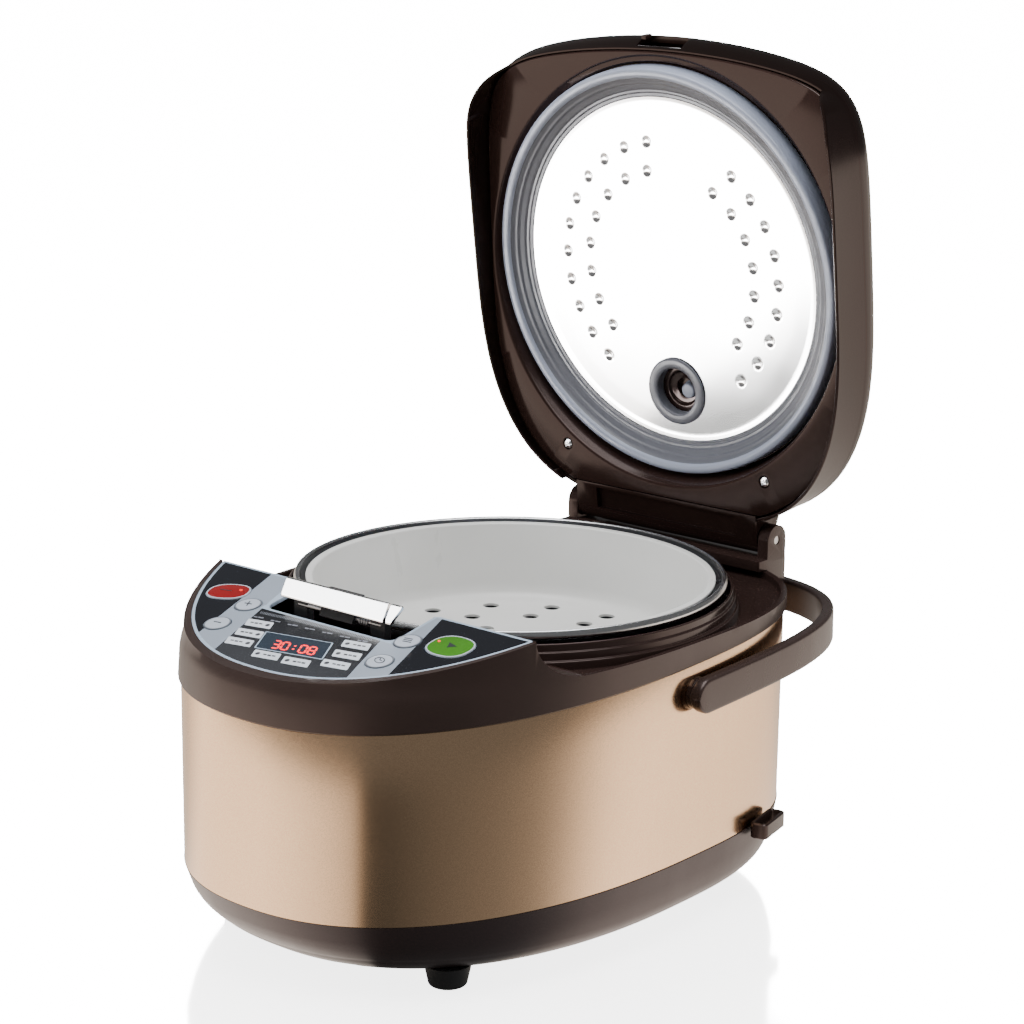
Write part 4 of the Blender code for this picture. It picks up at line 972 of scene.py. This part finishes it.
# ---- rear hinge ---------------------------------------------------------------------------------
def make_hinge_bracket():
    y, z = HINGE
    low, deck, rear = RIM_Z - 0.0345, RIM_Z + DECK_Z + GAP, y + 0.0092
    outline = rounded([(y - 0.0170, z - 0.0101), (y + 0.0070, z - 0.0101, 0.001), (rear, z - 0.0120, 0.001),
                       (rear, low + 0.0020, 0.002), (rear - 0.0020, low, 0.002), (y - 0.0170, low)], 0.001)
    bracket = prism("hinge_block_body", outline, -HINGE_W, HINGE_W, "X", ("gloss",))
    cut(bracket, loft("body_shape", [body_ring(BODY_W + GAP, BODY_F, BODY_R + GAP, h) for h in (0.10, deck)]))
    for side in (-1, 1):
        a, b = side * (BARREL_W + 0.0008), side * HINGE_W
        outline = [(y - 0.0090, z - 0.0120), (y + 0.0090, z - 0.0120)]
        for k in range(25):
            t = math.pi * k / 24
            outline.append((y + 0.0090 * math.cos(t), z + 0.0090 * math.sin(t)))
        ear = prism("ear", outline, min(a, b), max(a, b), "X", ("gloss",))
        cut(bracket, ear, operation="UNION")
    cut(bracket, rod("ear_bore", SHAFT_R + 0.0001, (-0.09, y, z), (0.09, y, z)))
    put(soften(bracket, 0.0006, 3, 40.0), "body", "hinge_bracket")


# ---- lid ----------------------------------------------------------------------------------------
def make_lid_shell():
    skin = LID_SKIN
    outer = [(0.0014, lid_edge, LID_LEAN), (0.0010, lambda y: lid_edge(y) + 0.0006, LID_LEAN)]
    curve = rounded([(0.0010, 0.0110), (0.0, 0.0160, 0.004), (0.0002, 0.0225, 0.005), (0.0045, 0.0300, 0.007),
                     (0.0180, 0.0355, 0.012), (0.0420, 0.0400, 0.02), (0.0800, LID_TOP)], 0.006, 6)
    outer += [(i, dome(z), LID_LEAN * min(1.0, max(0.0, (0.0240 - z) / 0.0130))) for i, z in curve[1:]]
    inner = ((0.0010 + skin, lambda y: lid_edge(y) + 0.0004, LID_LEAN), (skin, dome(0.0160), LID_LEAN * 0.6),
             (0.0060, dome(0.0285), 0.0), (0.0420, dome(0.0400 - skin), 0.0),
             (0.0800, dome(LID_TOP - skin), 0.0))
    rings = [lid_ring(*row) for row in reversed(inner)]
    rings.append(lid_ring(0.0024, lid_edge, LID_LEAN))
    rings += [lid_ring(*row) for row in outer]
    shell = loft("lid_cover", rings, ("lid",))
    y, z = HINGE
    cut(shell, slab("relief", (-0.0765, y - 0.0230, z - 0.03), (0.0765, y + 0.03, z - BARREL_R + 0.0006)))
    block = [(y - 0.0165, z - BARREL_R), (y, z - BARREL_R)]
    for k in range(1, 24):
        a = math.radians(-90 + 180 * k / 24)
        block.append((y + BARREL_R * math.cos(a), z + BARREL_R * math.sin(a)))
    block += [(y, z + BARREL_R), (y - 0.0200, z + 0.0200), (y - 0.0300, z + 0.0270),
              (y - 0.0300, z + 0.0220), (y - 0.0165, z + 0.0100)]
    cut(shell, prism("block", block, -BARREL_W, BARREL_W, "X", ("lid",)), operation="UNION")
    catch = rounded(rect(-0.0160, RIM_Z + 0.0123, 0.0160, RIM_Z + 0.0235), 0.0006, 4, closed=True)
    tools = [rod("bore", SHAFT_R + 0.0001, (-0.09, y, z), (0.09, y, z)),
             slab("spring_slot", (-0.0655, y - 0.0080, z - 0.0060), (-0.0520, y + 0.02, z + 0.0075)),
             slab("recess", (-0.0520, y - 0.0140, z - 0.0300), (0.0520, y - 0.0012, z - BARREL_R + 0.0026)),
             prism("catch_cut", catch, -0.20, POT_Y - 0.1255, "Y")]
    cut(shell, *tools)
    cup = lathe("cup", rect(0, 0.0308, 0.0262, 0.0500), ("lid",), VENT, count=96)
    under = [lid_ring(i, dome(h)) for i, h in ((0.0010, 0.0200), (0.0180, 0.0350), (0.0420, 0.0395),
                                               (0.0800, LID_TOP - 0.0005))]
    cut(cup, loft("dome_shape", under), operation="INTERSECT")
    cut(shell, cup, operation="UNION")
    cut(shell, lathe("valve_hole", ((0, 0.0), (VENT_R + 0.0003, 0.0), (VENT_R + 0.0003, 0.0329),
                                    (0.0238, 0.0329), (0.0238, 0.06), (0, 0.06)), ("lid",), VENT, count=96))
    put(swing(soften(shell, 0.0005, 3, 50.0)), "lid", "lid_shell")
    tab = slab("catch_tab", (-0.0158, POT_Y - 0.1372, RIM_Z + 0.0168),
               (-0.0122, POT_Y - 0.1345, RIM_Z + 0.0228), ("lid",))
    put(swing(soften(tab, 0.0005)), "lid")
    strip = slab("catch_strip", (-0.0155, POT_Y - 0.1322, RIM_Z + 0.0126),
                 (0.0155, POT_Y - 0.1306, RIM_Z + 0.0134), ("steel",))
    put(swing(soften(strip, 0.0002)), "lid", "lid_catch")


def make_lid_liner():
    def lifted(h):
        return lambda y: face_z(y) + h

    lean = LID_LEAN * 0.9
    rings = [lid_ring(0.0037, lifted(0.0009), lean), lid_ring(0.0039, lifted(0.0003), lean),
             lid_ring(0.0044, face_z, lean)]
    for radius, h in ((MOUTH_R + 0.0010, 0.0), (MOUTH_R + 0.0001, 0.0002), (MOUTH_R - 0.0006, 0.0008),
                      (MOUTH_R - 0.0010, 0.0014)):
        rings.append(mouth(radius, lifted(h)))
    rings += [mouth(SEAT_R + 0.0016, SEAT_Z - 0.0022), mouth(SEAT_R + 0.0008, SEAT_Z - 0.0008),
              mouth(SEAT_R, SEAT_Z), mouth(0.0600, SEAT_Z), mouth(0.0600, SEAT_Z + 0.0020),
              mouth(SEAT_R + 0.0018, SEAT_Z + 0.0020), mouth(MOUTH_R + 0.0010, lifted(0.0022)),
              lid_ring(0.0037, lifted(0.0022), lean)]
    liner = loft("lid_lining", rings, ("lid",), loop=True)
    y = POT_Y + HINGE_Y
    tools = [slab("rear_cut", (-0.0760, y - 0.0172, RIM_Z - 0.02), (0.0760, y + 0.01, RIM_Z + 0.02)),
             rod("vent", VENT_R + 0.0008, (*VENT, RIM_Z), (*VENT, RIM_Z + 0.03), count=96)]
    for x in (-SCREW_X, SCREW_X):
        y, z = POT_Y + SCREW_Y, RIM_Z + face_z(SCREW_Y)
        tools.append(rod(f"screw_{x}", 0.0038, (x, y, z - 0.01), (x, y, z + 0.01)))
    cut(liner, *tools)
    put(swing(soften(liner, 0.0004, 3, 60.0)), "lid", "lid_liner")


def dimple_depth(x, y):
    """Depth of the pressed dimples in the plate at x, y from the pot's axis."""
    depth = 0.0
    for cx, cy in DIMPLES:
        d = math.hypot(x - cx, y - cy)
        if d < DIMPLE_R:
            depth = max(depth, DIMPLE_DEPTH * (1 - (d / DIMPLE_R) ** 2) ** 1.2)
    return depth


DIMPLE_R, DIMPLE_DEPTH = 0.0036, 0.0013
DIMPLES = []
for ring_r, start, pitch, number in ((0.0775, 131.0, 13.0, 11), (0.0775, -52.0, 13.0, 9),
                                     (0.0605, 140.0, 16.8, 8), (0.0605, -56.0, 16.0, 7)):
    for i in range(number):
        t = math.radians(start + pitch * i)
        DIMPLES.append((ring_r * math.cos(t), ring_r * math.sin(t)))


def make_plate():
    """Bright inner plate of the lid: a pressed rim, a shallow step and two fields of dimples."""
    count = 540
    radii = [0.004, 0.010, 0.020, 0.032, 0.044, 0.052]
    r = 0.0560
    while r < 0.0825:
        radii.append(r)
        r += 0.00065
    radii += [0.0845, 0.0870, 0.0895, 0.0910, 0.0930, 0.0960, 0.0990, 0.1010, 0.1022, 0.1030, PLATE_R]

    def face(r):
        bowl = 0.0010 * (1 - (r / 0.0900) ** 2) if r < 0.0900 else 0.0
        lip = -0.0007 * max(0.0, (r - 0.1010) / 0.0027)
        return PLATE_Z + bowl * 0.5 + lip
    verts, faces = [], []
    for r in radii:
        for i in range(count):
            t = 2 * math.pi * i / count
            x, y = r * math.cos(t), r * math.sin(t)
            verts.append((x, POT_Y + y, RIM_Z + face(r) + dimple_depth(x, y)))
    rows = len(radii)
    for k in range(rows - 1):
        for i in range(count):
            j = (i + 1) % count
            faces.append((k * count + i, k * count + j, (k + 1) * count + j, (k + 1) * count + i))
    faces.append(tuple(range(count)))
    last = (rows - 1) * count
    start = len(verts)
    for r, z in ((PLATE_R, PLATE_Z + 0.0010), (0.0900, PLATE_Z + 0.0026), (0.004, PLATE_Z + 0.0026)):
        verts += circle(r, RIM_Z + z, count=count)
    for a, b in ((last, start), (start, start + count), (start + count, start + 2 * count)):
        faces += [(a + i, a + (i + 1) % count, b + (i + 1) % count, b + i) for i in range(count)]
    faces.append(tuple(range(start + 2 * count, start + 3 * count)))
    plate = add_mesh("plate_disc", verts, faces, ("plate",), angle=40.0)
    cut(plate, rod("plate_hole", VENT_R + 0.0002, (*VENT, RIM_Z), (*VENT, RIM_Z + 0.03), count=96))
    put(swing(plate), "inner_lid", "inner_lid_plate")


def make_gasket():
    profile = rounded([(0.1041, 0.0122, 0), (0.1224, 0.0122, 0), (0.1224, 0.0050, 0.001),
                       (0.1216, 0.0010, 0.001), (0.1198, 0.0004, 0.001), (0.1180, 0.0005, 0.0008),
                       (0.1166, 0.0012, 0.0006),
                       (0.1158, 0.0030, 0.0008), (0.1142, 0.0046, 0.001), (0.1126, 0.0052, 0.0006),
                       (0.1118, 0.0064, 0.0006), (0.1090, 0.0078, 0.001), (0.1082, 0.0088, 0.0004),
                       (0.1066, 0.0090, 0.0005), (0.1060, 0.0097, 0.0003), (0.1044, 0.0096, 0.0004),
                       (0.1036, 0.0101, 0.0002)], 0.001, 5)
    bands = [0 if (a[0] + b[0]) / 2 > 0.1160 else 1 for a, b in zip(profile, profile[1:] + profile[:1])]
    ring = lathe("seal_ring", profile, ("silicone", "seal"), loop=True, bands=bands, angle=50.0)
    put(swing(ring), "inner_lid", "lid_gasket")
    profile = rounded([(0.0140, 0.0160, 0), (0.0140, 0.0100, 0.001), (0.0150, 0.0093, 0.001),
                       (0.0170, 0.0090, 0.001),
                       (0.0196, 0.0092, 0.0008), (0.0207, 0.0100, 0.0004), (0.0205, 0.0106, 0.0003),
                       (0.0152, 0.0106, 0), (0.0150, 0.0160, 0)], 0.001, 6)
    ring = lathe("vent_ring", profile, ("seal",), VENT, count=144, loop=True, angle=50.0)
    put(swing(ring), "inner_lid", "vent_seal")


def make_valve():
    profile = rounded([(0.0060, 0.0360, 0), (0.0060, 0.0190, 0), (0.0100, 0.0186, 0.001),
                       (0.0108, 0.0166, 0.0006), (0.0148, 0.0166, 0.0006), (0.0148, 0.0332, 0),
                       (0.0230, 0.0332, 0.0003),
                       (0.0230, 0.0347, 0.0008), (0.0215, 0.0360, 0.0008)], 0.0005, 5)
    valve = lathe("valve_cap", profile, ("gloss",), VENT, count=144, loop=True)
    tools = []
    for i in range(8):
        a = 2 * math.pi * i / 8
        tool = slab(f"cap_slot_{i}", (0.0125, -0.0008, 0.0340), (0.0185, 0.0008, 0.0380))
        tool.data.transform(Matrix.Translation((*VENT, RIM_Z)) @ Matrix.Rotation(a, 4, "Z"))
        tools.append(tool)
    cut(valve, *tools)
    put(swing(soften(valve, 0.0003, 2)), "steam_cap", "steam_valve")
    pin = lathe("valve_float", rounded([(0, 0.0172), (0.0046, 0.0172, 0.0012), (0.0050, 0.0210, 0.0006),
                                        (0.0056, 0.0212, 0.0002), (0.0056, 0.0230), (0, 0.0230)], 0.0004, 4),
                ("silicone",), (0.0030, POT_Y + VENT_Y + 0.0015), count=72)
    put(swing(pin), "steam_cap")


def make_lid_screws():
    for side, x in (("left", -SCREW_X), ("right", SCREW_X)):
        z = face_z(SCREW_Y)
        profile = rounded([(0, z - 0.0011), (0.0018, z - 0.0010, 0.001), (0.0031, z + 0.0003, 0.0006),
                           (0.0031, z + 0.0010, 0.0002), (0.0016, z + 0.0010, 0), (0.0016, z + 0.0080, 0),
                           (0, z + 0.0080)], 0.0004, 5)
        screw = lathe(f"screw_head_{side}", profile, ("chrome",), (x, POT_Y + SCREW_Y), RIM_Z, 48)
        tools = []
        for k, turn in enumerate((20.0, 110.0)):
            bar_tool = slab(f"slot_{k}", (-0.0019, -0.00035, -0.0030), (0.0019, 0.00035, -0.0002))
            bar_tool.data.transform(Matrix.Translation((x, POT_Y + SCREW_Y, RIM_Z + z))
                                    @ Matrix.Rotation(math.radians(turn), 4, "Z"))
            tools.append(bar_tool)
        cut(screw, *tools)
        put(swing(screw), "lid", f"lid_screw_{side}", slot="steel")


# ---- handle -------------------------------------------------------------------------------------
def make_handle():
    steps, end_steps = 64, 12
    path = []
    for i in range(2 * steps + 1):
        a = math.pi * i / (2 * steps)
        c, s = math.cos(a), math.sin(a)
        path.append((BAIL_X * math.copysign(abs(c) ** (2 / BAIL_N), c), BAIL_REAR * abs(s) ** (2 / BAIL_N)))
    half = BAIL_H / 2
    stations = []
    for k in range(end_steps):
        a = math.radians(4 + 86 * k / end_steps)
        stations.append((BAIL_X, -half * math.cos(a), (1.0, 0.0), half * math.sin(a)))
    for i, (x, y) in enumerate(path):
        before, after = path[max(i - 1, 0)], path[min(i + 1, len(path) - 1)]
        t = Vector((after[0] - before[0], after[1] - before[1])).normalized()
        stations.append((x, y, (t.y, -t.x), half))
    stations += [(-x, y, (-n[0], n[1]), h) for x, y, n, h in reversed(stations[:end_steps])]
    rings = []
    for x, y, n, h in stations:
        e = min(0.0022, h * 0.9)
        section = rounded([(0, -h), (0, h), (BAIL_T, h), (BAIL_T, -h)], e, 5, closed=True)
        rings.append([(x - n[0] * d, y - n[1] * d, z) for d, z in section])
    handle = loft("bail_grip", rings, ("handle",), angle=50.0)
    pivot = Matrix.Translation((0, POT_Y, RIM_Z + BAIL_Z))
    handle.data.transform(pivot @ Matrix.Rotation(math.radians(BAIL_TILT), 4, "X"))
    put(handle, "handle", "handle")
    face, skin = BAIL_X - BAIL_T, BODY_W - 0.0015
    for side, sign in (("left", -1), ("right", 1)):
        profile = rounded([(0, 0.1275), (0.0100, 0.1275, 0), (0.0100, skin - 0.0020, 0),
                           (0.0060, skin - 0.0020, 0), (0.0060, skin + 0.0001, 0),
                           (0.0088, skin + 0.0001, 0.0003), (0.0088, face - GAP, 0.0003),
                           (0.0045, face - GAP, 0), (0.0045, BAIL_X - 0.0030, 0), (0, BAIL_X - 0.0030)],
                          0.0003, 4)
        boss = lathe(f"boss_{side}", profile, ("gloss",), (0, 0), 0.0, 96)
        boss.data.transform(pivot @ Matrix.Rotation(sign * math.pi / 2, 4, "Y"))
        put(boss, "body", f"handle_boss_{side}", slot="housing")


# ---- pieces kept from the CAD, with their finish ------------------------------------------------
KEPT = {"electric": ("power_inlet", "led_display", "latch_hook", "latch_bracket", "power_relay",
                     "board_capacitor"),
        "board": ("control_board", "power_board"),
        "cast": ("heating_plate",), "sensor": ("temperature_sensor",),
        "steel": ("latch_pin", "latch_spring", "inner_shell", "hinge_shaft", "lid_spring")}


def make_sensor_spring():
    """The spring under the sensor; the real one shortens as the sensor goes down, this coil keeps one length.
    """
    radius, wire, turns, steps, low, high = 0.0085, 0.0006, 4, 36, -0.1496, -0.1396
    rings = []
    for i in range(turns * steps + 1):
        a = 2 * math.pi * i / steps
        z = low + (high - low) * i / (turns * steps)
        ring = []
        for k in range(10):
            b = 2 * math.pi * k / 10
            reach = radius + wire * math.cos(b)
            ring.append((reach * math.cos(a), POT_Y + reach * math.sin(a), RIM_Z + z + wire * math.sin(b)))
        rings.append(ring)
    coil = put(loft("sensor_coil", rings, ("steel",), angle=60.0), "body", "sensor_spring")
    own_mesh(coil)


def finish_kept():
    for key, names in KEPT.items():
        for name in names:
            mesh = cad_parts[name].data
            mesh.materials.clear()
            mesh.materials.append(M[key])


for make in (make_base, make_feet, make_skirt, make_spoon_holder, make_upper_housing, make_panel, make_print,
             make_keys, make_release_button, make_pot, make_tray, make_hinge_bracket, make_lid_shell,
             make_lid_liner, make_plate, make_gasket, make_valve, make_lid_screws, make_handle,
             make_sensor_spring, finish_kept):
    make()


# ---- stage, light and camera --------------------------------------------------------------------
class Stage(Graph):
    """Stage material: shaders added together on an empty tree."""

    def __init__(self, name):
        super().__init__(name)
        self.tree.nodes.clear()
        self.coord = self.node("ShaderNodeTexCoord").outputs["Object"]
        self.out = self.node("ShaderNodeOutputMaterial")

    def join(self, *shaders):
        total = shaders[0].outputs[0]
        for other in shaders[1:]:
            total = self.node("ShaderNodeAddShader", {0: total, 1: other.outputs[0]}).outputs[0]
        self.tree.links.new(total, self.out.inputs["Surface"])
        return self.material

    def ramp(self, fac, stops, warm=0.0):
        n = self.node("ShaderNodeValToRGB", {0: fac})
        scale = n.color_ramp

        def tone(v):
            w = warm * min(v / 0.4, 1.0)
            return (v, v * (1 - 0.12 * w), v * (1 - 0.23 * w), 1.0)
        for element, (position, v) in ((scale.elements[0], stops[0]), (scale.elements[1], stops[-1])):
            element.position, element.color = position, tone(v)
        for position, v in stops[1:-1]:
            scale.elements.new(position).color = tone(v)
        return n.outputs[0]


def table_material():
    """Pale glossy table: bright, with a faint mirror image."""
    g = Stage("table_white")
    glow = g.node("ShaderNodeEmission", {"Strength": 4.0})
    matt = g.node("ShaderNodeBsdfDiffuse", {"Color": (0.8, 0.8, 0.8, 1.0)})
    gloss = g.node("ShaderNodeBsdfGlossy", {"Color": (0.5, 0.5, 0.5, 1.0), "Roughness": 0.10})
    return g.join(glow, matt, gloss)


# brightness of the table round the object by compass direction, in degrees from +X
ROUND = ((-180, 1.2), (-161, 2.6), (-119, 2.5), (-98, 2.1), (-79, 1.6), (-68, 1.2), (-63, 0.9), (-59, 0.07),
         (-45, 0.09), (-30, 0.14), (-12, 0.20), (0, 0.25), (10, 0.34), (15, 0.45), (20, 0.7), (25, 1.2),
         (29, 1.7), (34, 2.2), (42, 2.4), (60, 2.1), (75, 1.8), (88, 1.2), (120, 0.9), (180, 1.2))
ROUND_TOP = 2.6


def surround_material():
    """Bright table round the object's foot, with a dark card towards the front right."""
    g = Stage("table_surround")
    place = g.node("ShaderNodeVectorMath", {0: g.coord,
                                           1: (0.030, -0.118, 0.0)}, operation="SUBTRACT")
    split = g.node("ShaderNodeSeparateXYZ", {0: place.outputs[0]})
    turn = g.node("ShaderNodeMath", {0: split.outputs["Y"], 1: split.outputs["X"]}, operation="ARCTAN2")
    share = g.node("ShaderNodeMapRange", {0: turn.outputs[0], 1: -math.pi, 2: math.pi})
    colour = g.ramp(share.outputs[0], [((a + 180) / 360, v / ROUND_TOP) for a, v in ROUND], warm=1.0)
    return g.join(g.node("ShaderNodeEmission", {"Color": colour, "Strength": ROUND_TOP}))


def card_material(name, strength):
    """Bright reflector card that is greyer at the edge nearest the object."""
    g = Stage(name)
    split = g.node("ShaderNodeSeparateXYZ", {0: g.coord})
    share = g.node("ShaderNodeMapRange", {0: split.outputs["Y"], 1: -0.19, 2: -0.50})
    colour = g.ramp(share.outputs[0], [(0.0, 0.04), (0.30, 0.12), (0.60, 1.0), (1.0, 1.0)])
    return g.join(g.node("ShaderNodeEmission", {"Color": colour, "Strength": strength}),
                  g.node("ShaderNodeBsdfTransparent"))


def backdrop_material():
    """Backdrop that only the table mirrors; everything else looks through it."""
    g = Stage("backdrop_white")
    return g.join(g.node("ShaderNodeEmission", {"Strength": 24.0}), g.node("ShaderNodeBsdfTransparent"))


def sheet_piece(name, points, material, camera=False, diffuse=False):
    mesh = bpy.data.meshes.new(name)
    mesh.from_pydata(points, [], [tuple(range(len(points)))])
    mesh.materials.append(material)
    obj = bpy.data.objects.new(name, mesh)
    bpy.context.scene.collection.objects.link(obj)
    obj.visible_camera, obj.visible_diffuse = camera, diffuse
    obj.visible_shadow = camera
    obj.visible_transmission = False
    return obj


def square(size, z):
    s = size / 2
    return [(x, y, z) for x, y in rect(-s, -s, s, s)]


def area(name, place, aim, size, power):
    light = bpy.data.lights.new(name, "AREA")
    light.energy, light.size = power, size
    obj = bpy.data.objects.new(name, light)
    obj.location = place
    obj.rotation_euler = (Vector(aim) - Vector(place)).to_track_quat("-Z", "Y").to_euler()
    bpy.context.scene.collection.objects.link(obj)
    return obj


def link_light(light, group, *names):
    """Let a light or a bright card reach only the named pieces, kept in a collection."""
    receivers = bpy.data.collections.new(group)
    for name in names:
        receivers.objects.link(bpy.data.objects[name])
    light.light_linking.receiver_collection = receivers
    return receivers


table = sheet_piece("table_top", square(60.0, -0.0002), table_material(), camera=True)
table.visible_glossy = False
sheet_piece("table_surround", square(60.0, -0.0020), surround_material(), diffuse=True)
CARD_NEAR, CARD_FAR, CARD_Z = -0.19, -2.6, -0.0010
card = [(-2.4, CARD_NEAR, CARD_Z), (-2.4, CARD_FAR, CARD_Z), (1.0, CARD_FAR, CARD_Z),
        (-0.2, CARD_NEAR, CARD_Z)]
link_light(sheet_piece("lid_card", card, card_material("card_white", 20.0)),
           "lid_plate_only", "plate_disc", "seal_ring", "vent_ring", "valve_cap", "valve_float")
behind = math.radians(131.0)
far = Vector((math.cos(behind), math.sin(behind), 0)) * 12.0
wide = Vector((-math.sin(behind), math.cos(behind), 0)) * 8.0
tall = Vector((0, 0, 7.5))
corners = [tuple(corner) for corner in (far - wide, far + wide, far + wide + tall, far - wide + tall)]
link_light(sheet_piece("backdrop", corners, backdrop_material()), "table_only", "table_top")

world = bpy.data.worlds.new("studio")
world.use_nodes = True
world.node_tree.nodes["Background"].inputs["Color"].default_value = (1.0, 1.0, 1.0, 1.0)
world.node_tree.nodes["Background"].inputs["Strength"].default_value = 0.18
bpy.context.scene.world = world

top_box = area("top_box", (0.1, -0.1, 1.5), (0, 0, 0.2), 1.4, 36.0)
shaded = link_light(top_box, "not_from_above", "lid_cover")
shaded.collection_objects[0].light_linking.link_state = "EXCLUDE"
for side_box in (area("left_box", (-1.25, -1.15, 0.95), (0, 0, 0.2), 1.3, 24.0),
                 area("right_box", (1.6, 0.5, 0.7), (0, 0, 0.15), 0.9, 9.0)):
    side_box.visible_glossy = False
link_light(area("shine_box", (-0.9, -1.5, 0.9), (0, -0.12, 0.19), 2.6, 150.0),
           "bright_metal", "button_bar", "button_end", "screw_head_left", "screw_head_right")

camera = bpy.data.cameras.new("camera")
camera.lens, camera.sensor_width = 92.23, 36.0
eye = bpy.data.objects.new("camera", camera)
back = Vector((0.6287, -0.7379, 0.2455)).normalized()
right = Vector((0.7592, 0.6508, 0.0117)).normalized()
up = back.cross(right)
turn = Matrix((right, up, back)).transposed().to_4x4()
eye.matrix_world = Matrix.Translation((0.9233, -1.0681, 0.5764)) @ turn
bpy.context.scene.collection.objects.link(eye)
bpy.context.scene.camera = eye
